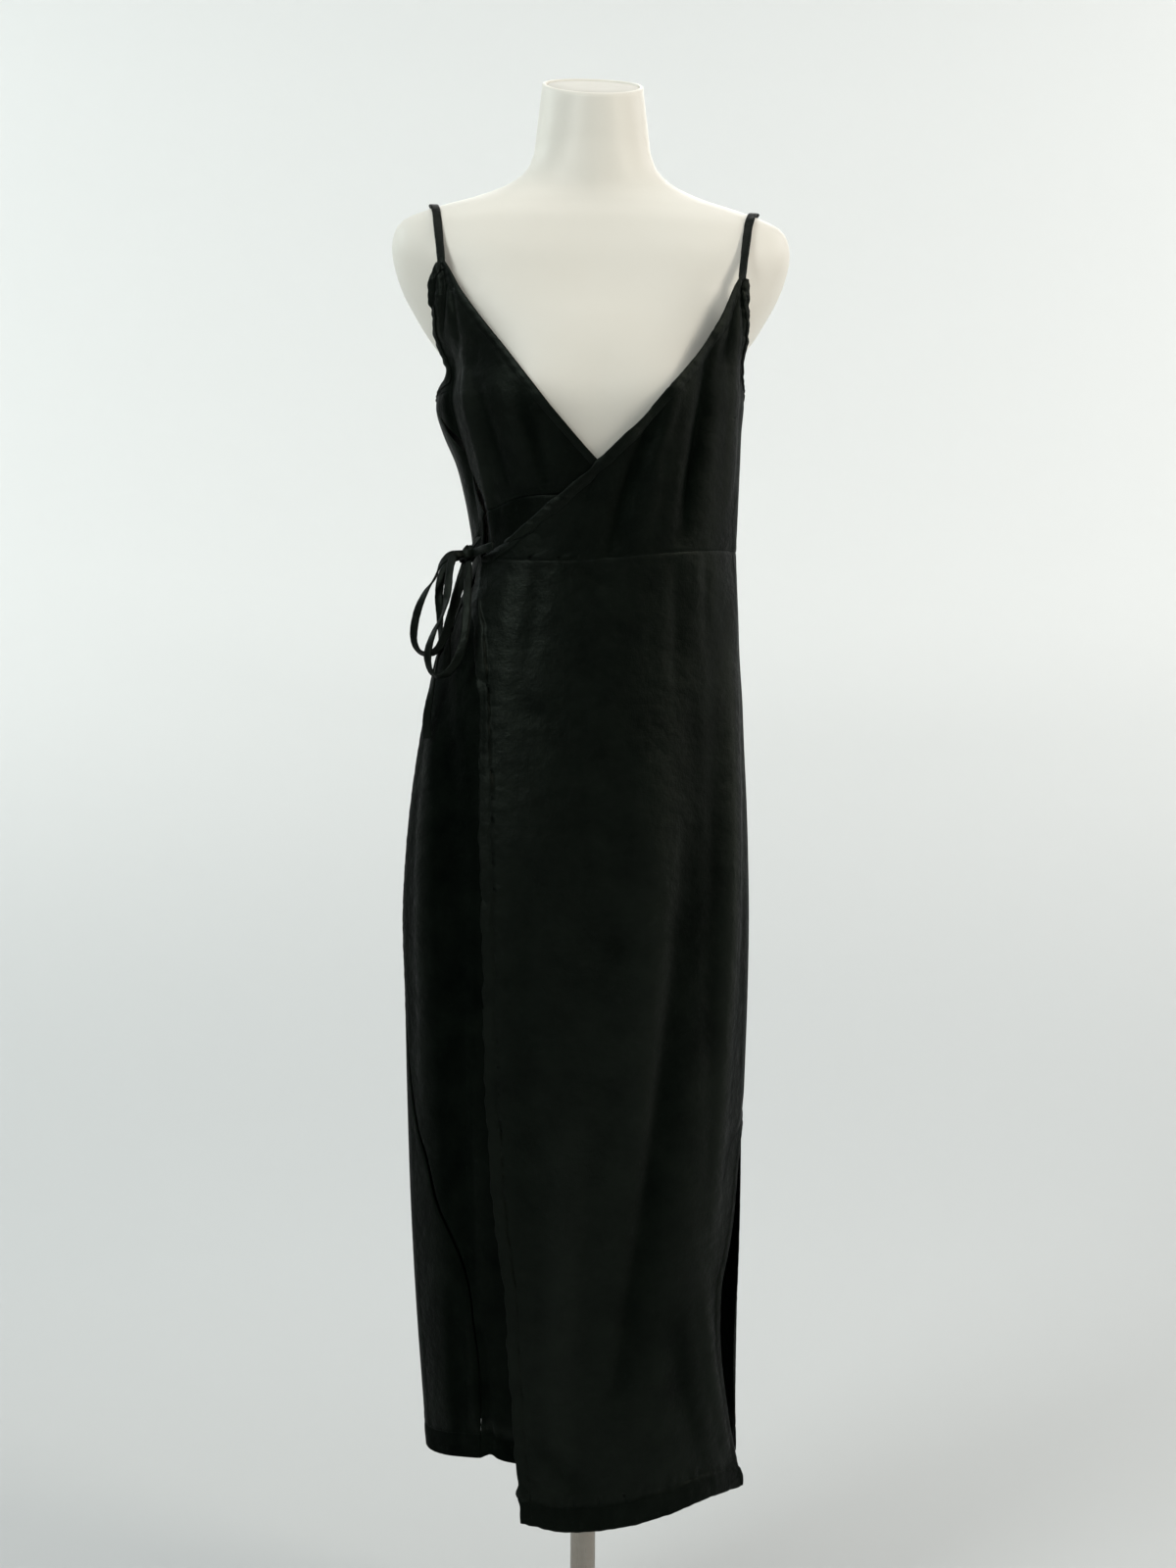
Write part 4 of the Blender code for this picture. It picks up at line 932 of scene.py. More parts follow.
def outward(points):
    """Unit normals of a grid whose rows run to the viewer's right and whose columns run down."""
    right = np.gradient(points, axis=1)
    down = np.gradient(points, axis=0)
    normal = np.cross(down, right)
    return normal / np.maximum(np.linalg.norm(normal, axis=-1, keepdims=True), 1e-12)


Edges = namedtuple("Edges", "left right top bottom")


def edge_distances(points):
    """Distances along the grid from its four edges, in metres."""
    across = np.linalg.norm(np.diff(points, axis=1), axis=-1)
    across = np.concatenate([np.zeros((len(points), 1)), np.cumsum(across, axis=1)], axis=1)
    down = np.linalg.norm(np.diff(points, axis=0), axis=-1)
    down = np.concatenate([np.zeros((1, points.shape[1])), np.cumsum(down, axis=0)], axis=0)
    return Edges(across, across[:, -1:] - across, down, down[-1:, :] - down)


def ripple(along, lengths, seed):
    """An uneven wave between about -1 and 1, from a few wavelengths in metres."""
    total = np.zeros_like(along)
    for k, length in enumerate(lengths):
        total = total + np.sin(2 * pi * along / length + seed * (1.7 + 2.3 * k) + k)
    return total / len(lengths)


def hem_relief(distance, along, depth, seed, pucker=0.0009):
    """A turned hem: thicker below its line of stitches, which draws in short puckers."""
    thick = 0.0003 * (1 - np.tanh((distance - depth) / 0.0007))
    sunk = -0.0006 * np.exp(-(((distance - depth) / 0.0012) ** 2))
    above = np.exp(-(((distance - depth - 0.004) / 0.006) ** 2))
    drawn = pucker * above * ripple(along, (0.0085, 0.013, 0.021), seed)
    below = np.exp(-(((distance - depth * 0.45) / (depth * 0.4)) ** 2))
    slack = 0.5 * pucker * below * ripple(along, (0.011, 0.018, 0.034), seed + 2)
    return thick + sunk + drawn + slack


def seam_relief(distance, along, seed, pucker=0.0004):
    """The groove where a panel is sewn to its neighbour, with slight puckers beside it."""
    groove = -SEAM_DIP * np.exp(-((distance / SEAM_WIDTH) ** 2))
    beside = np.exp(-((distance / 0.012) ** 2)) * (1 - np.exp(-((distance / 0.003) ** 2)))
    return groove + pucker * beside * ripple(along, (0.009, 0.015, 0.027), seed)


def lay_grain(mesh, grain):
    """A UV map in metres, from one pair of values for each point of the mesh."""
    corner = np.empty(len(mesh.loops), np.int32)
    mesh.loops.foreach_get("vertex_index", corner)
    layer = mesh.uv_layers.new(name="grain")
    layer.data.foreach_set("uv", grain[corner].astype(np.float32).ravel())


def cloth_piece(name, points, normal, thickness, finish, raised=0.0, nap=0.0):
    """A closed cloth wall on a grid of points, with rounded edges and a UV map in metres.

    Its painted shading is -1 where its gloss is lowered to paint shade, 0 as woven, and 1 where it is
    raised to paint a highlight."""
    rows, columns = points.shape[:2]
    count = rows * columns
    raised = np.broadcast_to(np.asarray(raised, float), (rows, columns))[..., None]
    thick = np.broadcast_to(np.asarray(thickness, float), (rows, columns))[..., None]
    inner = (points + normal * raised).reshape(-1, 3)
    outer = (points + normal * (raised + thick)).reshape(-1, 3)
    index = np.arange(count).reshape(rows, columns)
    a, b, c, d = index[:-1, :-1], index[1:, :-1], index[1:, 1:], index[:-1, 1:]
    front = np.stack([a, b, c, d], axis=-1).reshape(-1, 4)
    back = np.stack([a, d, c, b], axis=-1).reshape(-1, 4) + count
    rim = np.concatenate([index[0], index[1:, -1], index[-1, -2::-1], index[-2:0:-1, 0]])
    nearest = index[np.clip(rim // columns, 1, rows - 2), np.clip(rim % columns, 1, columns - 2)]
    inward = outer[nearest] - outer[rim]
    inward /= np.maximum(np.linalg.norm(inward, axis=1, keepdims=True), 1e-9)
    middle = (outer[rim] + inner[rim]) / 2
    pulled = inward * 0.35 * thick.reshape(-1, 1)[rim]
    outer[rim] += pulled
    inner[rim] += pulled
    mid = 2 * count + np.arange(len(rim))
    mid_next = np.roll(mid, -1)
    rim_next = np.roll(rim, -1)
    upper = np.stack([rim, rim_next, mid_next, mid], axis=1)
    lower = np.stack([mid, mid_next, rim_next + count, rim + count], axis=1)
    faces = np.concatenate([front, back, upper, lower])
    made = plain_mesh(name, np.concatenate([outer, inner, middle]), faces.tolist(), finish)
    edges = edge_distances(points)
    grain = np.stack([edges.left, edges.top], axis=-1).reshape(-1, 2)
    lay_grain(made.data, np.concatenate([grain, grain, grain[rim]]))
    nap = np.broadcast_to(np.asarray(nap, float), (rows, columns)).ravel()
    painted_shading_attr = made.data.attributes.new("nap", "FLOAT", "POINT")
    painted_shading_attr.data.foreach_set("value", np.concatenate([nap, nap, nap[rim]]).astype(np.float32))
    return made


seam_lines = []


def sew(line, normal, off):
    """Keeps a line of sewing, this far off the points, for the stitches made further down."""
    seam_lines.append((np.asarray(line) + np.asarray(normal) * np.asarray(off)[..., None], normal))


# The silk's look: a very dark green-grey, sand-washed so that its sheen is cloudy and its
# surface slightly crushed.  The weave group gives fine crossed threads from the UV map.
weave, weave_in, weave_out = shader_group(
    "silk_weave",
    [("Vector", "NodeSocketVector", None), ("Threads", "NodeSocketFloat", 1600.0)],
    [("Height", "NodeSocketFloat")],
)
crossed = []
for stretch in ((1.0, 0.06, 1.0), (0.06, 1.0, 1.0)):
    turned_grain = add_node(weave, "ShaderNodeMapping", {"Vector": weave_in.outputs["Vector"]})
    turned_grain.inputs["Scale"].default_value = stretch
    threads = add_node(
        weave,
        "ShaderNodeTexNoise",
        {"Vector": turned_grain.outputs[0], "Scale": weave_in.outputs["Threads"], "Detail": 1.0},
    )
    crossed.append(threads.outputs["Fac"])
both = add_node(weave, "ShaderNodeMath", {0: crossed[0], 1: crossed[1]}, operation="ADD")
weave.links.new(both.outputs[0], weave_out.inputs["Height"])

SILK_DARK = (0.0007, 0.0016, 0.0011)
SILK_LIGHT = (0.0034, 0.0052, 0.0037)


def silk_material(name, dark, light, smoothest, roughest):
    """Sand-washed silk: cloudy colour and gloss, crushed relief and fine threads."""
    made, shader = new_material(name, light, 0.6)
    tree = made.node_tree
    where = add_node(tree, "ShaderNodeTexCoord").outputs["Object"]
    grain = add_node(tree, "ShaderNodeUVMap", uv_map="grain").outputs["UV"]
    clouds = place_mottle(tree, where, 26.0, 2.2)
    wash = place_mottle(tree, where, 110.0, 1.8)
    tree.links.new(blend_colours(tree, clouds, dark, light), shader.inputs["Base Color"])
    tree.links.new(remap(tree, wash, smoothest, roughest), shader.inputs["Roughness"])
    crush = add_node(tree, "ShaderNodeBump", {"Height": place_mottle(tree, where, 42.0, 1.0)})
    crush.inputs["Strength"].default_value = 0.5
    crush.inputs["Distance"].default_value = 0.004
    threads = tree.nodes.new("ShaderNodeGroup")
    threads.node_tree = weave
    tree.links.new(grain, threads.inputs["Vector"])
    threads.inputs["Threads"].default_value = 1600.0
    cloth = add_node(
        tree, "ShaderNodeBump", {"Height": threads.outputs["Height"], "Normal": crush.outputs[0]}
    )
    cloth.inputs["Strength"].default_value = 0.35
    cloth.inputs["Distance"].default_value = 0.0004
    tree.links.new(cloth.outputs["Normal"], shader.inputs["Normal"])
    glancing = add_node(tree, "ShaderNodeLayerWeight", {"Blend": 0.5})
    fading = add_node(tree, "ShaderNodeMapRange", {"Value": glancing.outputs["Facing"]})
    fading.inputs["From Min"].default_value = 0.28
    fading.inputs["From Max"].default_value = 0.72
    fading.inputs["To Min"].default_value = 0.115
    fading.inputs["To Max"].default_value = 0.007
    # Painted shade and highlight: the gloss is scaled by each point's painted shading, low where shade
    # is painted and high where a highlight is painted.
    painted_shading_attr = add_node(tree, "ShaderNodeAttribute", attribute_name="nap").outputs["Fac"]
    painted_gloss_level = add_node(tree, "ShaderNodeMapRange", {"Value": painted_shading_attr})
    painted_gloss_level.inputs["From Min"].default_value = -1.0
    painted_gloss_level.inputs["To Min"].default_value = 0.08
    painted_gloss_level.inputs["To Max"].default_value = 1.85
    gloss = add_node(
        tree, "ShaderNodeMath", {0: fading.outputs[0], 1: painted_gloss_level.outputs[0]}, operation="MULTIPLY"
    )
    tree.links.new(gloss.outputs[0], shader.inputs["Specular IOR Level"])
    shader.inputs["Specular Tint"].default_value = (0.88, 1.0, 0.86, 1)
    shader.inputs["Sheen Weight"].default_value = 0.0015
    shader.inputs["Sheen Roughness"].default_value = 0.35
    shader.inputs["Sheen Tint"].default_value = (0.86, 0.92, 0.86, 1)
    return made


silk_panel = silk_material("silk_panel", SILK_DARK, SILK_LIGHT, 0.34, 0.49)

SKIRT_BACK_STEP = 0.0045
HEM_BACK_STEP = 0.0018
HEM_BACK_DEPTH = 0.022
HEM_BACK_BAND = HEM_BACK_DEPTH + 0.0001
SLIT_HEM_BACK = 0.010
BACK_EDGE_STEPS = 5
left = path(places(SLIT_BACK))
right = path(places(SIDE_SEAM_MIDDLE) + places(SIDE_SEAM_BOTTOM))
top = path(places(WAIST_BACK)[::-1])
bottom = path((places(SIDE_SEAM_BOTTOM)[-1:] + places(HEM_BACK))[::-1])
down = graded(left.length, SKIRT_BACK_STEP, HEM_BACK_STEP, 0.010, HEM_BACK_BAND)
across = row_marks(left, right, down, 110, SLIT_HEM_BACK, 0.006, BACK_EDGE_STEPS)
spots = patch(left, right, top, bottom, across, down)
points = cloth_surface(spots, SHARED_CREASES + UNDER_CREASES)
normal = outward(points)
edges = edge_distances(points)
open_share = within(spots[..., 1], SLIT_TOP, 0.008)
relief = hem_relief(edges.bottom, edges.left, HEM_BACK_DEPTH, 1.3)
relief += hem_relief(edges.left, edges.top, SLIT_HEM_BACK, 0.4, 0.0005) * open_share
relief += seam_relief(edges.left, edges.top, 2.2) * (1 - open_share)
relief += seam_relief(edges.right, edges.top, 3.1) + seam_relief(edges.top, edges.left, 0.9, 0.0009)
points = points + normal * relief[..., None]
normal = outward(points)
# Painted shade: the panel's gloss is lowered all over and further on its hem, with the creases'
# painted shade and highlight.
nap = painted_crease_shading(spots, SHARED_CREASES + UNDER_CREASES, -0.74)
nap -= 0.45 * within(edges.bottom, HEM_BACK_DEPTH)
skirt_back = cloth_piece("skirt_back_silk", points, normal, WALL, silk_panel, nap=nap)
hem_row = len(down) - 1 - round(HEM_BACK_BAND / HEM_BACK_STEP)
sew(points[hem_row], normal[hem_row], np.full(points.shape[1], WALL))
line = np.s_[spots[:, 0, 1] < SLIT_TOP, BACK_EDGE_STEPS]
sew(points[line], normal[line], np.full(len(points[line]), WALL))
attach(skirt_back, "root")
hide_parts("skirt_back")

# ------------------------------------------------------------------ the underlap of the skirt
# The wearer's right front lies under the wrap.  What shows is the strip between its side seam
# and the wrap's free edge; the rest runs on under the wrap to a narrow hemmed edge.
WAIST_RIGHT = [
    EdgeRow(0.0400, 1.1900),
    EdgeRow(-0.0524, 1.1915),
    EdgeRow(-0.0780, 1.1890),
    EdgeRow(-0.0916, 1.1838),
    EdgeRow(-0.1030, 1.1790),
]
UNDERLAP_EDGE = [
    EdgeRow(0.0400, 1.1900),
    EdgeRow(0.0520, 0.9000),
    EdgeRow(0.0640, 0.6000),
    EdgeRow(0.0740, 0.2640),
]
HEM_RIGHT = [
    EdgeRow(0.0740, 0.2640),
    EdgeRow(-0.0716, 0.2658),
    EdgeRow(-0.0874, 0.2682),
    EdgeRow(-0.0958, 0.2719),
    EdgeRow(-0.1050, 0.2674),
]
HEM_RIGHT_DEPTH = 0.022
HEM_RIGHT_STEP = 0.0016
HIDDEN_HEM = 0.010
left = path(places(SIDE_SEAM_MIDDLE) + places(SIDE_SEAM_BOTTOM))
right = path(places(UNDERLAP_EDGE))
top = path(places(WAIST_RIGHT)[::-1])
bottom = path(places(HEM_RIGHT)[::-1])
down = graded(left.length, 0.0036, HEM_RIGHT_STEP, 0.008, HEM_RIGHT_DEPTH)
across = row_marks(left, right, down, 62, 0.006, HIDDEN_HEM, 4)
spots = patch(left, right, top, bottom, across, down)
points = cloth_surface(spots, SHARED_CREASES + UNDER_CREASES)
normal = outward(points)
edges = edge_distances(points)
relief = hem_relief(edges.bottom, edges.left, HEM_RIGHT_DEPTH, 4.1, 0.0030)
relief += hem_relief(edges.right, edges.top, HIDDEN_HEM, 0.7, 0.0003)
relief += seam_relief(edges.left, edges.top, 3.1) + seam_relief(edges.top, edges.left, 1.9, 0.0005)
points = points + normal * relief[..., None]
normal = outward(points)
# Painted shade and highlight: the strip's gloss is lowered all over and on its hem, and raised as a
# painted highlight just above the hem and along the waist away from the side seam.
nap = painted_crease_shading(spots, SHARED_CREASES + UNDER_CREASES, -0.80)
nap += 0.55 * np.exp(-(((edges.bottom - HEM_RIGHT_DEPTH - 0.006) / 0.006) ** 2))
nap -= 0.30 * within(edges.bottom, HEM_RIGHT_DEPTH)
nap += 0.45 * np.exp(-((edges.top / 0.050) ** 2)) * (1 - within(edges.left, 0.055, 0.010))
skirt_under = cloth_piece("skirt_front_right_silk", points, normal, WALL, silk_panel, nap=nap)
hem_row = len(down) - 1 - round(HEM_RIGHT_DEPTH / HEM_RIGHT_STEP)
sew(points[hem_row], normal[hem_row], np.full(points.shape[1], WALL))
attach(skirt_under, "root")
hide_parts("skirt_front_right")

# ------------------------------------------------------------------ the wrap of the skirt
# The wearer's left front wraps over to the right and hangs from the waist seam.  Its free edge
# has an 11 mm hem that draws in slightly, its bottom a 24 mm hem whose outer corner flips
# up at the slit.  It stands a little off the layer under it.
WAIST_LEFT = [
    EdgeRow(-0.1070, 1.1330),
    EdgeRow(-0.0386, 1.1289),
    EdgeRow(0.0165, 1.1322),
    EdgeRow(0.0544, 1.1368),
    EdgeRow(0.1080, 1.1426),
    EdgeRow(0.1373, 1.1462),
]
WRAP_EDGE = [
    EdgeRow(-0.1111, 1.1355),
    EdgeRow(-0.1205, 1.0968),
    EdgeRow(-0.1224, 1.0604),
    EdgeRow(-0.1210, 0.9585),
    EdgeRow(-0.1196, 0.8702),
    EdgeRow(-0.1153, 0.7674),
    EdgeRow(-0.1087, 0.6241),
    EdgeRow(-0.0966, 0.4932),
    EdgeRow(-0.0869, 0.4364),
    EdgeRow(-0.0807, 0.3614),
    EdgeRow(-0.0737, 0.2864),
    EdgeRow(-0.0656, 0.2105),
]
HEM_LEFT = [
    EdgeRow(-0.0656, 0.2105),
    EdgeRow(-0.0396, 0.2042),
    EdgeRow(-0.0098, 0.2026),
    EdgeRow(0.0354, 0.2070),
    EdgeRow(0.0739, 0.2150),
    EdgeRow(0.1143, 0.2238),
    EdgeRow(0.1490, 0.2190),
]
SLIT_EDGE = [
    EdgeRow(0.1500, 0.5600),
    EdgeRow(0.1408, 0.4833),
    EdgeRow(0.1340, 0.4507),
    EdgeRow(0.1285, 0.4262),
    EdgeRow(0.1281, 0.3656),
    EdgeRow(0.1359, 0.3058),
    EdgeRow(0.1445, 0.2494),
    EdgeRow(0.1490, 0.2190),
]
HEM_LEFT_DEPTH = 0.024
HEM_LEFT_BAND = HEM_LEFT_DEPTH + 0.0002
HEM_LEFT_STEP = 0.0014
WRAP_EDGE_STEPS = 8
FREE_HEM = 0.011
SLIT_HEM = 0.009
OVERLAP_LIFT = 0.0036
FREE_EDGE_LIFT = 0.0012
SETTLE_SHARE = 0.25
LIFT_SHARE = 0.30


def outer_lift(s):
    """Lift of the outer wrap layer, which comes down to the cloth at the left side seam."""
    settled = OVERLAP_LIFT * np.minimum((1 - s) / SETTLE_SHARE, 1) ** 0.8
    return settled + FREE_EDGE_LIFT * np.maximum(1 - s / LIFT_SHARE, 0)


left = path(places(WRAP_EDGE))
side = [(LEFT_SIDE, WAIST_SIDE), (LEFT_SIDE, 0.900), (LEFT_SIDE, 0.700)]
side += [(LEFT_SIDE - 0.3, 0.620), (LEFT_SIDE - 1.5, 0.585)]
right = path(side + places(SLIT_EDGE))
top = path(places(WAIST_LEFT) + [(LEFT_SIDE, WAIST_SIDE)])
bottom = path(places(HEM_LEFT))
down = graded(left.length, 0.0032, HEM_LEFT_STEP, 0.010, HEM_LEFT_BAND)
across = row_marks(left, right, down, 78, FREE_HEM, SLIT_HEM, WRAP_EDGE_STEPS)
spots = patch(left, right, top, bottom, across, down)
spots = swayed(spots, np.exp(-((across / 0.06) ** 2)), 0.0013, (0.021, 0.037, 0.083), 2.0)
points = cloth_surface(spots, SHARED_CREASES + OVER_CREASES)
normal = outward(points)
edges = edge_distances(points)
open_share = within(spots[..., 1], SLIT_TOP, 0.008)
relief = hem_relief(edges.bottom, edges.left, HEM_LEFT_DEPTH, 2.7, 0.0020)
relief += hem_relief(edges.left, edges.top, FREE_HEM, 5.3, 0.0005)
relief += hem_relief(edges.right, edges.top, SLIT_HEM, 1.1, 0.0007) * open_share
relief += seam_relief(edges.right, edges.top, 2.2) * (1 - open_share)
relief += seam_relief(edges.top, edges.left, 1.4, 0.0005)
flip = np.exp(-(((edges.right / 0.030) ** 2 + (edges.bottom / 0.045) ** 2)))
relief += 0.0075 * flip - 0.0016 * np.exp(-(((edges.right - 0.028) / 0.012) ** 2)) * open_share
points = points + normal * relief[..., None]
normal = outward(points)
lift = outer_lift(across)
# Painted shade and highlight from the creases, with painted shade on the hem and beside the slit.
nap = painted_crease_shading(spots, SHARED_CREASES + OVER_CREASES)
nap -= 0.55 * within(edges.bottom, HEM_LEFT_DEPTH)
nap -= 0.35 * np.exp(-(((edges.right - 0.008) / 0.010) ** 2))
skirt_over = cloth_piece("skirt_front_left_silk", points, normal, WALL, silk_panel, lift, nap)
hem_row = len(down) - 1 - round(HEM_LEFT_BAND / HEM_LEFT_STEP)
sew(points[hem_row], normal[hem_row], lift[hem_row] + WALL)
line = np.s_[:, WRAP_EDGE_STEPS]
sew(points[line], normal[line], lift[line] + WALL)
line = np.s_[spots[:, -1, 1] < SLIT_TOP, -WRAP_EDGE_STEPS - 1]
sew(points[line], normal[line], lift[line] + WALL)
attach(skirt_over, "root")
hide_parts("skirt_front_left")

# ------------------------------------------------------------------ the back of the bodice
# One panel that joins the skirt's back at the waist and ends in a curved top edge, bound with a
# narrow folded strip of the same silk that lies over the edge.
BACK_TOP = [
    Place(-90, 1.300),
    Place(-112, 1.318),
    Place(-138, 1.340),
    Place(-160, 1.330),
    Place(-180, 1.324),
    Place(-200, 1.330),
    Place(-222, 1.340),
    Place(-248, 1.318),
    Place(-270, 1.300),
]
SIDE_SEAM_TOP = [
    Place(-90, 1.300),
    Place(-78, 1.260),
    Place(-66, 1.210),
    Place(-59, 1.179),
]
ARM_BINDING_WIDTH = 0.0065
NECK_BINDING_WIDTH = 0.009
BINDING_THICKNESS = 0.0010
BINDING_STEPS = 7
BINDING_STITCH = 5
ON_WALL = WALL + 0.0001
silk_tape = silk_material("silk_tape", SILK_DARK, SILK_LIGHT, 0.32, 0.46)


def binding(name, points, normal, raised, distance, along, node, seed):
    """A folded strip over a panel's edge: rounded, drawn in at its stitches, unevenly."""
    short_way = 0 if distance.shape[1] > distance.shape[0] else 1
    share = distance / np.maximum(distance.max(axis=short_way, keepdims=True), 1e-4)
    thickness = BINDING_THICKNESS * (0.55 + 0.75 * np.sin(pi * np.clip(share, 0.06, 0.96)) ** 0.6)
    thickness -= 0.00035 * np.exp(-(((share - 0.80) / 0.10) ** 2))
    thickness += 0.00022 * ripple(along, (0.0075, 0.012, 0.019), seed) * np.sin(pi * share)
    made = cloth_piece(name, points, normal, thickness, silk_tape, raised)
    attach(made, "root")
    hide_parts(node)
    return made, thickness


left = path([(-270, UNDERARM), (-270, 1.230), (-270, WAIST_SIDE)])
right = path(places(SIDE_SEAM_TOP))
top = path(places(BACK_TOP)[::-1])
bottom = path(places(WAIST_BACK)[::-1])
down = graded(0.172, 0.0034, ARM_BINDING_WIDTH / BINDING_STEPS, ARM_BINDING_WIDTH, 0.008)
across = row_marks(left, right, down, 140, 0.006, 0.006, 4)
spots = patch(left, right, top, bottom, across, down)
points = cloth_surface(spots, SHARED_CREASES + UNDER_CREASES)
normal = outward(points)
edges = edge_distances(points)
relief = seam_relief(edges.left, edges.top, 6.2) + seam_relief(edges.right, edges.top, 4.4)
relief += seam_relief(edges.bottom, edges.left, 0.9, 0.0006)
relief += 0.0005 * ripple(edges.left, (0.013, 0.021, 0.034), 2.0) * np.exp(-((edges.top / 0.016) ** 2))
points = points + normal * relief[..., None]
normal = outward(points)
# Painted shade in the creases' troughs and painted highlight on their ridges.
nap = painted_crease_shading(spots, SHARED_CREASES + UNDER_CREASES)
bodice_back = cloth_piece("bodice_back_silk", points, normal, WALL, silk_panel, nap=nap)
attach(bodice_back, "root")
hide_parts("bodice_back")
strip = slice(0, BINDING_STEPS + 1)
back_tape, thickness = binding(
    "back_binding_silk",
    points[strip],
    normal[strip],
    ON_WALL,
    edges.top[strip],
    edges.left[strip],
    "back_binding",
    3.3,
)
sew(points[BINDING_STITCH], normal[BINDING_STITCH], ON_WALL + thickness[BINDING_STITCH])

# ------------------------------------------------------------------ the underlap of the bodice
# The wearer's right front, from the strap's foot down to the waist seam under the wrap.  It is
# gathered slightly at the strap, with a ridge over a deep trough beside the side seam.
NECKLINE_RIGHT = [
    EdgeRow(-0.1476, 1.4200),
    EdgeRow(-0.1391, 1.4047),
    EdgeRow(-0.1307, 1.3894),
    EdgeRow(-0.1092, 1.3589),
    EdgeRow(-0.0861, 1.3289),
    EdgeRow(-0.0641, 1.2996),
    EdgeRow(-0.0418, 1.2717),
    EdgeRow(-0.0061, 1.2330),
    EdgeRow(0.0240, 1.2080),
    EdgeRow(0.0400, 1.1960),
]
ARMHOLE_RIGHT = [
    EdgeRow(-0.1560, 1.4190),
    EdgeRow(-0.1640, 1.4020),
    EdgeRow(-0.1644, 1.3849),
    EdgeRow(-0.1620, 1.3673),
    EdgeRow(-0.1545, 1.3414),
    EdgeRow(-0.1480, 1.3145),
]
ARM_SHARE = 8 / 14


def joined(first, second):
    """One edge made of two paths, the armhole's and the side seam's."""

    def at(u):
        u = np.asarray(u, float)
        upper = first(np.minimum(u / ARM_SHARE, 1))
        lower = second(np.maximum((u - ARM_SHARE) / (1 - ARM_SHARE), 0))
        return np.where((u < ARM_SHARE)[..., None], upper, lower)

    at.length = first.length + second.length
    return at


neck = path(places(NECKLINE_RIGHT))
arm = path(places(ARMHOLE_RIGHT) + [(-90, UNDERARM)])
left = joined(arm, path(places(SIDE_SEAM_TOP)))
top = path([arm(0.0), neck(0.0)])
bottom = path(places(WAIST_RIGHT)[::-1])
UNDER_ARM_ROWS = 72
down = np.concatenate(
    [np.linspace(0, ARM_SHARE, UNDER_ARM_ROWS + 1)[:-1], np.linspace(ARM_SHARE, 1, 55)]
)
across = row_marks(left, neck, down, 66, ARM_BINDING_WIDTH, NECK_BINDING_WIDTH, BINDING_STEPS)
spots = patch(left, neck, top, bottom, across, down)
below_arm = 0.5 * (1 + np.tanh((down - ARM_SHARE + 0.04) / 0.02))[:, None]
near = np.exp(-((across / 0.10) ** 2)) * (1 - below_arm)
spots = swayed(spots, near * np.minimum(down / 0.2, 1)[:, None], 0.0012, (0.009, 0.014, 0.026), 1.2)
points = cloth_surface(spots, SHARED_CREASES + UNDER_CREASES)
normal = outward(points)
edges = edge_distances(points)
below_arm = 0.5 * (1 + np.tanh((down - ARM_SHARE) / 0.01))[:, None]
relief = seam_relief(edges.left, edges.top, 4.4) * below_arm
relief += seam_relief(edges.bottom, edges.left, 1.9, 0.0005)
beside = np.exp(-(((edges.left - 0.008) / 0.009) ** 2)) * (1 - below_arm)
relief += 0.0007 * beside * ripple(edges.top, (0.0085, 0.014, 0.024), 1.2)
beside = np.exp(-(((edges.right - 0.010) / 0.010) ** 2))
relief += 0.0004 * beside * ripple(edges.top, (0.012, 0.019, 0.031), 0.3)
points = points + normal * relief[..., None]
normal = outward(points)
# Painted shade: the underlap's gloss is lowered all over, and raised above about 1.335 m as a painted
# highlight.
nap = painted_crease_shading(spots, SHARED_CREASES + UNDER_CREASES, -0.42)
nap += 0.35 * (1 + np.tanh((spots[..., 1] - 1.335) / 0.030))
bodice_under = cloth_piece("bodice_front_right_silk", points, normal, WALL, silk_panel, nap=nap)
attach(bodice_under, "root")
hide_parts("bodice_front_right")
strip = np.s_[:, -BINDING_STEPS - 1 :]
neck_tape, thickness = binding(
    "neck_binding_right_silk",
    points[strip],
    normal[strip],
    ON_WALL,
    edges.right[strip],
    edges.top[strip],
    "neck_binding_right",
    1.7,
)
column = -BINDING_STITCH - 1
far_column = BINDING_STEPS - BINDING_STITCH
sew(points[:, column], normal[:, column], ON_WALL + thickness[:, far_column])
strip = np.s_[: UNDER_ARM_ROWS + 1, : BINDING_STEPS + 1]
arm_tape, thickness = binding(
    "armhole_binding_right_silk",
    points[strip],
    normal[strip],
    ON_WALL,
    edges.left[strip],
    edges.top[strip],
    "armhole_binding_right",
    2.9,
)
line = np.s_[: UNDER_ARM_ROWS + 1, BINDING_STITCH]
sew(points[line], normal[line], ON_WALL + thickness[:, BINDING_STITCH])

# ------------------------------------------------------------------ the wrap of the bodice
# The wearer's left front crosses over to the right hip, where its corner is tied.  Long soft
# folds run down from the shoulder and the bust towards the tie.
NECKLINE_LEFT = [
    EdgeRow(0.1370, 1.4090),
    EdgeRow(0.1283, 1.3950),
    EdgeRow(0.1119, 1.3640),
    EdgeRow(0.0898, 1.3329),
    EdgeRow(0.0633, 1.3020),
    EdgeRow(0.0360, 1.2729),
    EdgeRow(-0.0061, 1.2330),
    EdgeRow(-0.0361, 1.2076),
    EdgeRow(-0.0669, 1.1820),
    EdgeRow(-0.0994, 1.1525),
    EdgeRow(-0.1105, 1.1430),
]
ARMHOLE_LEFT = [
    EdgeRow(0.1460, 1.4075),
    EdgeRow(0.1480, 1.3931),
    EdgeRow(0.1490, 1.3699),
    EdgeRow(0.1470, 1.3434),
    EdgeRow(0.1470, 1.3169),
]
neck = path(places(NECKLINE_LEFT))
arm = path(places(ARMHOLE_LEFT) + [(LEFT_SIDE, UNDERARM)])
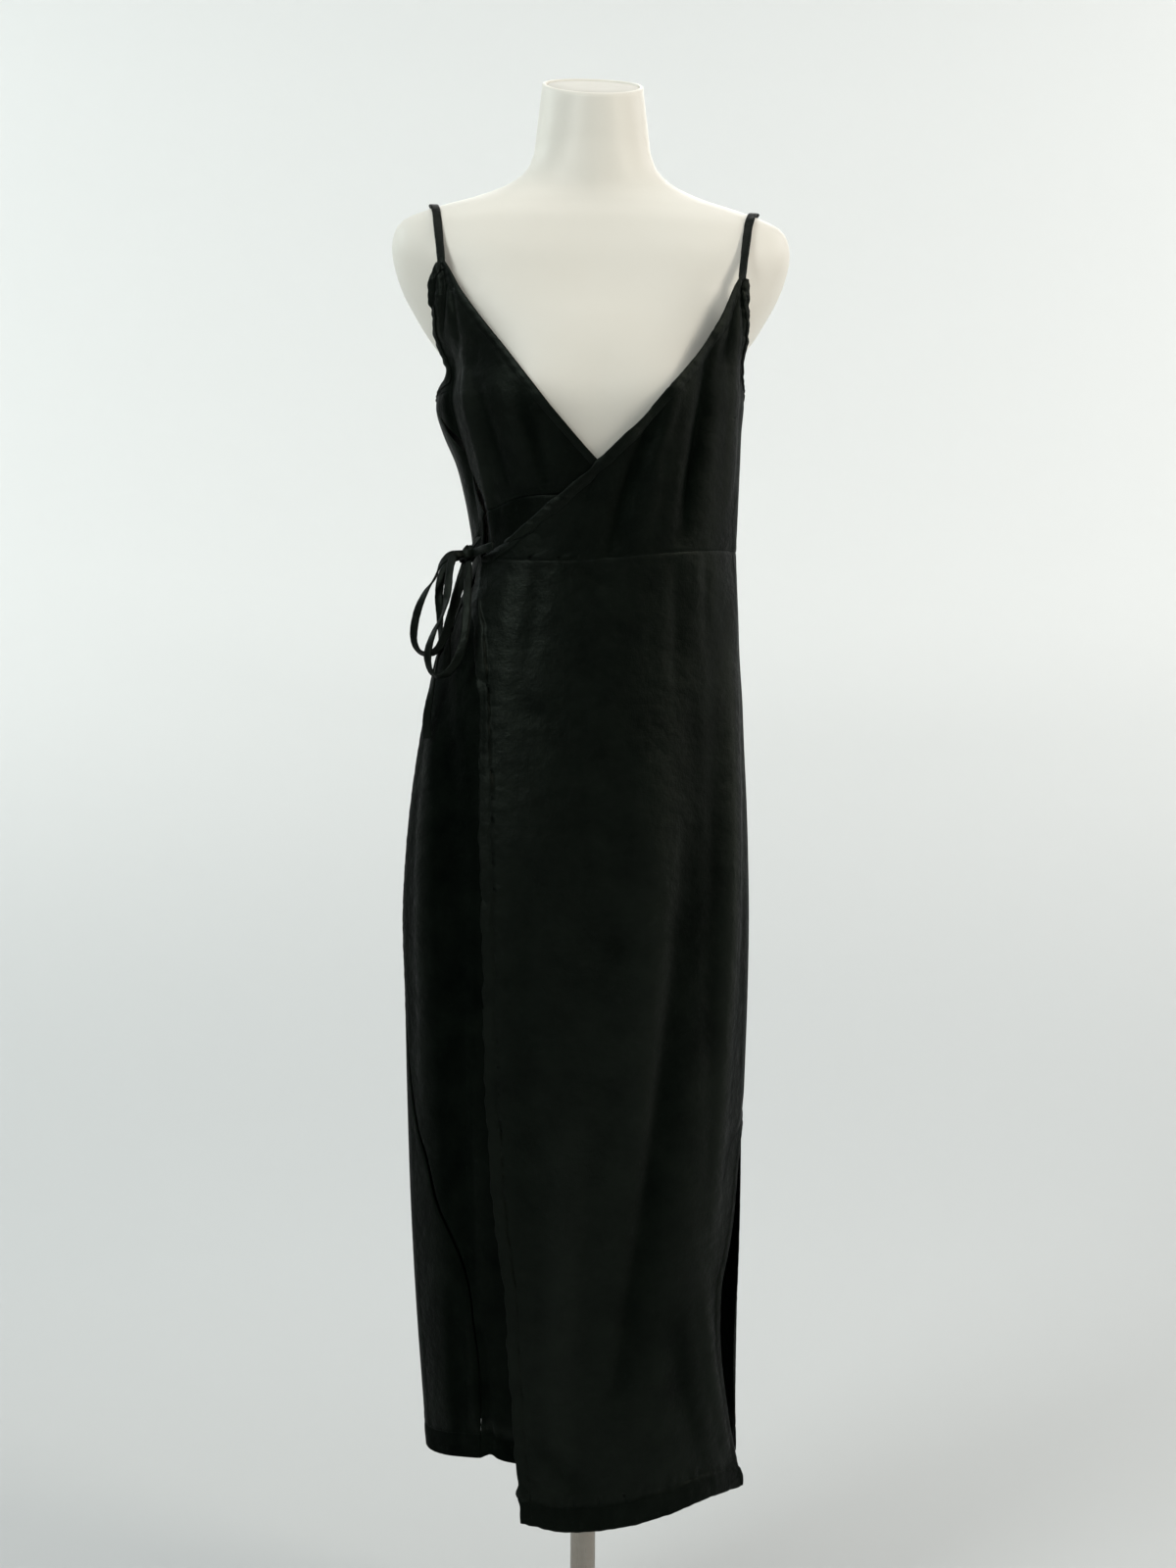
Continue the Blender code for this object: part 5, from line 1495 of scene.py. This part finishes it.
right = joined(arm, path([(LEFT_SIDE, UNDERARM), (LEFT_SIDE, 1.230), (LEFT_SIDE, WAIST_SIDE)]))
top = path([neck(0.0), arm(0.0)])
bottom = path(places(WAIST_LEFT) + [(LEFT_SIDE, WAIST_SIDE)])
WRAP_ARM_ROWS = 84
down = np.concatenate(
    [np.linspace(0, ARM_SHARE, WRAP_ARM_ROWS + 1)[:-1], np.linspace(ARM_SHARE, 1, 67)]
)
across = row_marks(neck, right, down, 104, NECK_BINDING_WIDTH, ARM_BINDING_WIDTH, BINDING_STEPS)
spots = patch(neck, right, top, bottom, across, down)
below_arm = 0.5 * (1 + np.tanh((down - ARM_SHARE + 0.04) / 0.02))[:, None]
near = np.exp(-(((1 - across) / 0.10) ** 2)) * (1 - below_arm)
spots = swayed(spots, near * np.minimum(down / 0.2, 1)[:, None], 0.0012, (0.009, 0.014, 0.026), 4.2)
points = cloth_surface(spots, SHARED_CREASES + OVER_CREASES)
normal = outward(points)
edges = edge_distances(points)
below_arm = 0.5 * (1 + np.tanh((down - ARM_SHARE) / 0.01))[:, None]
relief = seam_relief(edges.right, edges.top, 6.2) * below_arm
relief += seam_relief(edges.bottom, edges.left, 1.4, 0.0005)
beside = np.exp(-(((edges.right - 0.008) / 0.009) ** 2)) * (1 - below_arm)
relief += 0.0007 * beside * ripple(edges.top, (0.0085, 0.014, 0.024), 4.2)
beside = np.exp(-(((edges.left - 0.010) / 0.010) ** 2))
relief += 0.0005 * beside * ripple(edges.top, (0.012, 0.019, 0.031), 2.3)
points = points + normal * relief[..., None]
normal = outward(points)
at_tip = np.exp(-((down / 0.16) ** 2))[:, None]
lift = outer_lift(across) * (1 - at_tip) + 0.0016 * at_tip
# Painted shade: the wrap's gloss is lowered a little all over, with the creases' painted shade and
# highlight.
nap = painted_crease_shading(spots, SHARED_CREASES + OVER_CREASES, -0.28)
bodice_over = cloth_piece("bodice_front_left_silk", points, normal, WALL, silk_panel, lift, nap)
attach(bodice_over, "root")
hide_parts("bodice_front_left")
strip = np.s_[:, : BINDING_STEPS + 1]
neck_tape, thickness = binding(
    "neck_binding_left_silk",
    points[strip],
    normal[strip],
    lift[strip] + ON_WALL,
    edges.left[strip],
    edges.top[strip],
    "neck_binding_left",
    0.6,
)
line = np.s_[:, BINDING_STITCH]
sew(points[line], normal[line], lift[line] + ON_WALL + thickness[line])
strip = np.s_[: WRAP_ARM_ROWS + 1, -BINDING_STEPS - 1 :]
arm_tape, thickness = binding(
    "armhole_binding_left_silk",
    points[strip],
    normal[strip],
    lift[strip] + ON_WALL,
    edges.right[strip],
    edges.top[strip],
    "armhole_binding_left",
    5.1,
)
line = np.s_[: WRAP_ARM_ROWS + 1, -BINDING_STITCH - 1]
raised = lift[line] + ON_WALL + thickness[:, BINDING_STEPS - BINDING_STITCH]
sew(points[line], normal[line], raised)

# ------------------------------------------------------------------ the straps
# Narrow folded straps go on from the ends of the bindings, over the shoulders and down the back
# to the top edge of the bodice's back.
SHOULDER_CENTRE = 1.440
STRAP_CLEARANCE = 0.0026
STRAP_END = 1.3418
STRAP_WIDTH = 0.0085
STRAP_THICKNESS = 0.0020
STRAP_STEP = 0.0025
Strap = namedtuple("Strap", "node x_front z_front x_top turn_back")
STRAPS = [
    Strap("strap_right", -0.1518, 1.4222, -0.160, -138),
    Strap("strap_left", 0.1415, 1.4106, 0.166, -222),
]
SOFT_RING = [
    (-1.0, 0.0),
    (-0.93, 0.75),
    (-0.6, 1.0),
    (0.0, 0.92),
    (0.6, 1.0),
    (0.93, 0.75),
    (1.0, 0.0),
    (0.93, -0.75),
    (0.6, -1.0),
    (0.0, -0.92),
    (-0.6, -1.0),
    (-0.93, -0.75),
]


def unit(rows):
    """The rows, each made one long."""
    return rows / np.linalg.norm(rows, axis=1, keepdims=True)


def ribbon(name, centres, facing, widths, thickness, finish):
    """A flat soft strip along its centres, facing this way at each, with closed round ends."""
    centres = np.asarray(centres, float)
    facing = np.asarray(facing, float)
    ahead = unit(np.gradient(centres, axis=0))
    side = unit(np.cross(ahead, facing))
    out = np.cross(side, ahead)
    widths = np.broadcast_to(widths, len(centres))
    rings = []
    for i, centre in enumerate(centres):
        ring = []
        for u, v in SOFT_RING:
            ring.append(centre + side[i] * u * widths[i] / 2 + out[i] * v * thickness / 2)
        rings.append(ring)
    rings = np.array(rings)
    for end, step in ((0, -1), (-1, 1)):
        tip = centres[end] + ahead[end] * step * thickness * 0.4
        cap = tip + (rings[end] - centres[end]) * 0.82
        rings = np.concatenate([[cap], rings] if end == 0 else [rings, [cap]])
    count = len(SOFT_RING)
    faces = [list(range(count))[::-1], list(range((len(rings) - 1) * count, len(rings) * count))]
    faces += ring_faces(len(rings), count)
    made = plain_mesh(name, rings, faces, finish)
    run = np.concatenate([[0], np.cumsum(np.linalg.norm(np.diff(rings[:, 0], axis=0), axis=1))])
    grain = np.stack(
        [np.repeat(run, count), np.tile([u * 0.004 for u, v in SOFT_RING], len(rings))], axis=1
    )
    lay_grain(made.data, grain)
    return made


def resampled(points, step):
    """Rows every `step` along a smooth line through these rows, which start with x, y and z."""
    points = np.asarray(points, float)
    steps = np.linalg.norm(np.diff(points[:, :3], axis=0), axis=1)
    marks = np.concatenate([[0], np.cumsum(steps)])
    at = np.linspace(0, marks[-1], max(4, round(marks[-1] / step)) + 1)
    return np.stack([smooth(marks, points[:, k], at) for k in range(points.shape[1])], axis=1)


def shoulder_point(x, angle):
    """Just outside the form at x, seen from inside the shoulder at this angle from the front."""
    near, far = 0.0, 0.15
    for _ in range(24):
        middle = (near + far) / 2
        y = -middle * cos(angle)
        z = SHOULDER_CENTRE + middle * sin(angle)
        turn = degrees(atan2(x, -y))
        inside = (x * x + y * y) ** 0.5 < form_radius(turn, z) and z < FORM[0].z
        near, far = (middle, far) if inside else (near, middle)
    reach = near + STRAP_CLEARANCE
    return (x, -reach * cos(angle), SHOULDER_CENTRE + reach * sin(angle))


def form_back(x, z):
    """How far back the form's surface lies at x across and this height."""
    half_width, front, back, square = section_at(FORM, z)
    return back * (1 - (abs(x) / half_width) ** square) ** (1 / square)


def cloth_spot(turn, z, off):
    """A place this far off the cloth, and the cloth's outward direction there."""
    around = np.array([[(turn + a, z + b) for a in (-1, 0, 1)] for b in (0.003, 0, -0.003)])
    points = cloth_surface(around, SHARED_CREASES)
    out = outward(points)[1, 1]
    return points[1, 1] + out * off, out


for strap in STRAPS:
    centres = []
    facing = []
    for below in (0.010, 0.004, -0.001):
        z = strap.z_front - below
        place, out = cloth_spot(float(turn_at(strap.x_front, z)), z, -0.0008)
        centres.append(place)
        facing.append(out)
    end, _ = cloth_spot(strap.turn_back, STRAP_END, 0.0008)
    x_rear = strap.x_top + (end[0] - strap.x_top) * 0.25
    for share in np.linspace(0, 1, 12):
        angle = radians(28 + 124 * share)
        x_low = strap.x_front * 0.6 + strap.x_top * 0.4 if share < 0.5 else x_rear
        x = x_low + (strap.x_top - x_low) * (1 - abs(2 * share - 1))
        centres.append(shoulder_point(x, angle))
        facing.append((0, -cos(angle), sin(angle)))
    begin = np.array(centres[-1])
    for share in np.linspace(0, 1, 7)[1:]:
        x = begin[0] + (end[0] - begin[0]) * share
        z = begin[2] + (end[2] - begin[2]) * share
        off = STRAP_CLEARANCE + (end[1] - form_back(end[0], end[2]) - STRAP_CLEARANCE) * share**2
        centres.append((x, form_back(x, z) + off, z))
        facing.append((0, 1, 0))
    run = resampled(np.concatenate([centres, facing], axis=1), STRAP_STEP)
    uneven = STRAP_WIDTH * (1 + 0.03 * ripple(np.arange(len(run)) * STRAP_STEP, (0.021, 0.037), 1.0))
    made = ribbon(strap.node + "_silk", run[:, :3], run[:, 3:], uneven, STRAP_THICKNESS, silk_tape)
    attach(made, "root")
    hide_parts(strap.node)

# ------------------------------------------------------------------ the tie
# A soft flat tube of silk, 8.5 mm wide, knotted in a bow at the wearer's right hip: two loops and
# two free ends with closed tips, the longer about 19 cm.  The strips turn over in places.
KNOT = np.array((-0.1225, -0.0640, 1.1390))
TieRow = namedtuple("TieRow", "x y z width turn")
TIE_WIDTH = 0.0085
TIE_THICKNESS = 0.0020
TIE_STEP = 0.0016
TIES = {
    "tie_loop_outer": [
        TieRow(-0.1285, -0.0640, 1.1400, 0.70, 20),
        TieRow(-0.1400, -0.0660, 1.1375, 0.95, 10),
        TieRow(-0.1490, -0.0680, 1.1290, 0.85, 45),
        TieRow(-0.1550, -0.0680, 1.1150, 0.80, 80),
        TieRow(-0.1640, -0.0670, 1.1010, 0.90, 40),
        TieRow(-0.1710, -0.0660, 1.0850, 1.00, 15),
        TieRow(-0.1750, -0.0650, 1.0660, 1.00, 10),
        TieRow(-0.1745, -0.0650, 1.0520, 0.95, 30),
        TieRow(-0.1690, -0.0660, 1.0430, 0.90, 55),
        TieRow(-0.1600, -0.0690, 1.0410, 0.90, 60),
        TieRow(-0.1510, -0.0740, 1.0470, 0.95, 40),
        TieRow(-0.1440, -0.0770, 1.0620, 1.00, 20),
        TieRow(-0.1380, -0.0780, 1.0830, 1.00, 10),
        TieRow(-0.1310, -0.0760, 1.1060, 0.95, 10),
        TieRow(-0.1260, -0.0700, 1.1230, 0.80, 10),
        TieRow(-0.1240, -0.0665, 1.1310, 0.65, 10),
    ],
    "tie_loop_inner": [
        TieRow(-0.1285, -0.0705, 1.1385, 0.70, -10),
        TieRow(-0.1370, -0.0770, 1.1350, 0.95, 0),
        TieRow(-0.1410, -0.0820, 1.1210, 1.00, 15),
        TieRow(-0.1430, -0.0870, 1.1000, 1.00, 10),
        TieRow(-0.1470, -0.0910, 1.0790, 0.90, 60),
        TieRow(-0.1560, -0.0940, 1.0600, 0.90, 40),
        TieRow(-0.1615, -0.0950, 1.0400, 1.00, 15),
        TieRow(-0.1590, -0.0960, 1.0240, 0.95, 45),
        TieRow(-0.1520, -0.0980, 1.0180, 0.90, 65),
        TieRow(-0.1420, -0.1010, 1.0220, 0.95, 50),
        TieRow(-0.1330, -0.1030, 1.0350, 1.00, 20),
        TieRow(-0.1270, -0.1020, 1.0550, 1.00, 5),
        TieRow(-0.1250, -0.0970, 1.0780, 1.00, 0),
        TieRow(-0.1240, -0.0880, 1.1000, 1.00, 0),
        TieRow(-0.1230, -0.0780, 1.1180, 0.90, 0),
        TieRow(-0.1225, -0.0710, 1.1310, 0.65, 0),
    ],
    "tie_tail_long": [
        TieRow(-0.1285, -0.0590, 1.1370, 0.70, 20),
        TieRow(-0.1400, -0.0560, 1.1330, 0.90, 20),
        TieRow(-0.1480, -0.0570, 1.1200, 1.00, 10),
        TieRow(-0.1510, -0.0585, 1.1000, 1.00, 0),
        TieRow(-0.1500, -0.0600, 1.0780, 0.95, 20),
        TieRow(-0.1495, -0.0610, 1.0550, 0.90, 55),
        TieRow(-0.1530, -0.0620, 1.0300, 0.90, 70),
        TieRow(-0.1580, -0.0610, 1.0050, 0.95, 35),
        TieRow(-0.1620, -0.0590, 0.9800, 1.00, 5),
        TieRow(-0.1615, -0.0580, 0.9600, 1.05, 0),
    ],
    "tie_tail_short": [
        TieRow(-0.1260, -0.0590, 1.1320, 0.70, 0),
        TieRow(-0.1310, -0.0600, 1.1130, 0.95, 10),
        TieRow(-0.1370, -0.0650, 1.0900, 1.00, 20),
        TieRow(-0.1410, -0.0680, 1.0650, 0.95, 40),
        TieRow(-0.1430, -0.0690, 1.0400, 0.95, 15),
        TieRow(-0.1435, -0.0690, 1.0200, 1.00, 0),
    ],
}
TIE_FACING = np.array((-0.30, -0.95, 0.05))
for seed, (node, rows) in enumerate(TIES.items()):
    run = resampled([tuple(row) for row in rows], TIE_STEP)
    centres = run[:, :3]
    ahead = unit(np.gradient(centres, axis=0))
    flat_on = unit(TIE_FACING - ahead * (ahead @ TIE_FACING)[:, None])
    edge_on = np.cross(ahead, flat_on)
    bend = np.radians(run[:, 4])[:, None]
    facing = flat_on * np.cos(bend) + edge_on * np.sin(bend)
    uneven = 1 + 0.05 * ripple(np.arange(len(run)) * TIE_STEP, (0.0065, 0.011, 0.019), seed)
    widths = TIE_WIDTH * run[:, 3] * uneven
    made = ribbon(node + "_silk", centres, facing, widths, TIE_THICKNESS, silk_tape)
    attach(made, "root")
    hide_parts(node)

# ------------------------------------------------------------------ the knot
# The tie crosses itself once: a tight band of it, turned across, over a lumpy core.  Two flat
# strips join the knot to the wrap's corner and to the waist seam at the side.
KNOT_HALF = np.array((0.0068, 0.0062, 0.0080))
KNOT_ROWS = 15
KNOT_SIDES = 28
BAND_THICKNESS = 0.0022
ROOT_THICKNESS = 0.0018
ROOT_STEP = 0.0015
rings = []
for k in range(KNOT_ROWS):
    rise = pi * (k + 0.5) / KNOT_ROWS
    ring = []
    for i in range(KNOT_SIDES):
        around = 2 * pi * i / KNOT_SIDES
        lump = 1 + 0.10 * sin(3 * around + 1.4 * rise) + 0.06 * sin(5 * around - 3 * rise + 1)
        ball = (sin(rise) * cos(around), sin(rise) * sin(around), -cos(rise))
        ring.append(KNOT + lump * KNOT_HALF * ball)
    rings.append(ring)
core = capped("tie_knot_core", np.array(rings), silk_tape)
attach(core, "root")
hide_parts("tie_knot")
around = np.linspace(0, 2 * pi, 41)
band = np.stack(
    [
        KNOT[0] + 0.0078 * np.cos(around),
        KNOT[1] + 0.0074 * np.sin(around),
        KNOT[2] + 0.0035 * np.cos(around) + 0.0012 * np.sin(2 * around),
    ],
    axis=1,
)
band_out = np.stack([np.cos(around), np.sin(around), 0.15 * np.sin(3 * around)], axis=1)
wrap_band = ribbon("tie_knot_band", band, band_out, TIE_WIDTH, BAND_THICKNESS, silk_tape)
ROOTS = {
    "tie_root_wrap": [
        (-0.1000, -0.0955, 1.1440),
        (-0.1060, -0.0900, 1.1425),
        (-0.1130, -0.0800, 1.1405),
        (-0.1185, -0.0700, 1.1395),
        (-0.1215, -0.0650, 1.1390),
    ],
    "tie_root_side": [
        (-0.1120, -0.0560, 1.1560),
        (-0.1165, -0.0575, 1.1500),
        (-0.1200, -0.0600, 1.1440),
        (-0.1225, -0.0620, 1.1400),
    ],
}
roots = []
for name, route in ROOTS.items():
    centres = resampled(route, ROOT_STEP)
    out = np.stack([centres[:, 0], centres[:, 1], np.zeros(len(centres))], axis=1)
    roots.append(ribbon(name + "_silk", centres, out, TIE_WIDTH, ROOT_THICKNESS, silk_tape))
for made in (wrap_band, *roots):
    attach(made, "root")

# ------------------------------------------------------------------ the stitches
# One row of black lockstitch in every hem and binding, about 3 mm a stitch, slightly sunk.
STITCH_PITCH = 0.0030
thread_finish, thread_shader = new_material("thread", (0.002, 0.003, 0.002), 0.6)
tree = thread_finish.node_tree
where = add_node(tree, "ShaderNodeTexCoord").outputs["Object"]
flecks = place_mottle(tree, where, 300.0, 2.0)
tree.links.new(
    blend_colours(tree, flecks, (0.001, 0.0015, 0.001), (0.004, 0.005, 0.004)),
    thread_shader.inputs["Base Color"],
)
thread_shader.inputs["Specular IOR Level"].default_value = 0.08
spots_at, spots_along, spots_out = [], [], []


def on_line(at, marks, values):
    """The values, a row at each mark along a line, read at these distances."""
    return np.stack([np.interp(at, marks, values[:, k]) for k in range(3)], axis=1)


for line, out in seam_lines:
    marks = np.concatenate([[0], np.cumsum(np.linalg.norm(np.diff(line, axis=0), axis=1))])
    count = int(marks[-1] / STITCH_PITCH)
    at = (np.arange(count) + 0.5) * marks[-1] / count
    at = at + 0.00025 * np.sin(np.arange(count) * 2.4 + marks[-1] * 50)
    spots_at.append(on_line(at, marks, line))
    spots_along.append(unit(on_line(at + 0.001, marks, line) - on_line(at - 0.001, marks, line)))
    spots_out.append(unit(on_line(at, marks, out)))
stitch_points = bpy.data.meshes.new("stitch_points")
stitch_points.from_pydata(np.concatenate(spots_at).tolist(), [], [])
for label, values in (("along", spots_along), ("outward", spots_out)):
    attribute = stitch_points.attributes.new(label, "FLOAT_VECTOR", "POINT")
    attribute.data.foreach_set("vector", np.concatenate(values).astype(np.float32).ravel())
maker = bpy.data.objects.new("stitch_maker", stitch_points)
bpy.context.scene.collection.objects.link(maker)

stitching = bpy.data.node_groups.new("stitching", "GeometryNodeTree")
stitching.interface.new_socket("Geometry", in_out="INPUT", socket_type="NodeSocketGeometry")
for label, value in (("Length", 0.0024), ("Thickness", 0.00042)):
    socket = stitching.interface.new_socket(label, in_out="INPUT", socket_type="NodeSocketFloat")
    socket.default_value = value
socket = stitching.interface.new_socket("Seed", in_out="INPUT", socket_type="NodeSocketInt")
socket.default_value = 7
socket = stitching.interface.new_socket("Thread", in_out="INPUT", socket_type="NodeSocketMaterial")
stitching.interface.new_socket("Geometry", in_out="OUTPUT", socket_type="NodeSocketGeometry")
given = stitching.nodes.new("NodeGroupInput")
result = stitching.nodes.new("NodeGroupOutput")
ball = add_node(stitching, "GeometryNodeMeshUVSphere", {"Segments": 6, "Rings": 4, "Radius": 0.5})
size = add_node(
    stitching,
    "ShaderNodeCombineXYZ",
    {"X": given.outputs["Thickness"], "Y": given.outputs["Thickness"], "Z": given.outputs["Length"]},
)
bead = add_node(
    stitching, "GeometryNodeTransform", {"Geometry": ball.outputs["Mesh"], "Scale": size.outputs[0]}
)
along = add_node(
    stitching, "GeometryNodeInputNamedAttribute", {"Name": "along"}, data_type="FLOAT_VECTOR"
)
out = add_node(
    stitching, "GeometryNodeInputNamedAttribute", {"Name": "outward"}, data_type="FLOAT_VECTOR"
)
facing = add_node(
    stitching,
    "FunctionNodeAxesToRotation",
    {"Primary Axis": along.outputs["Attribute"], "Secondary Axis": out.outputs["Attribute"]},
    primary_axis="Z",
    secondary_axis="X",
)
stretch = add_node(
    stitching, "FunctionNodeRandomValue", {"Seed": given.outputs["Seed"]}, data_type="FLOAT"
)
stretch.inputs[2].default_value = 0.88
stretch.inputs[3].default_value = 1.08
placed = add_node(
    stitching,
    "GeometryNodeInstanceOnPoints",
    {
        "Points": given.outputs["Geometry"],
        "Instance": bead.outputs["Geometry"],
        "Rotation": facing.outputs["Rotation"],
        "Scale": stretch.outputs[1],
    },
)
real = add_node(stitching, "GeometryNodeRealizeInstances", {"Geometry": placed.outputs["Instances"]})
coloured = add_node(
    stitching,
    "GeometryNodeSetMaterial",
    {"Geometry": real.outputs["Geometry"], "Material": given.outputs["Thread"]},
)
stitching.links.new(coloured.outputs["Geometry"], result.inputs["Geometry"])
modifier = maker.modifiers.new("stitching", "NODES")
modifier.node_group = stitching
for item in stitching.interface.items_tree:
    if item.in_out == "INPUT" and item.name == "Thread":
        modifier[item.identifier] = thread_finish
evaluated = maker.evaluated_get(bpy.context.evaluated_depsgraph_get())
made_mesh = bpy.data.meshes.new_from_object(evaluated)
made_mesh.shade_smooth()
stitches = bpy.data.objects.new("stitches", made_mesh)
bpy.context.scene.collection.objects.link(stitches)
bpy.data.objects.remove(maker)
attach(stitches, "root")

# ------------------------------------------------------------------ sizes
low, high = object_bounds()
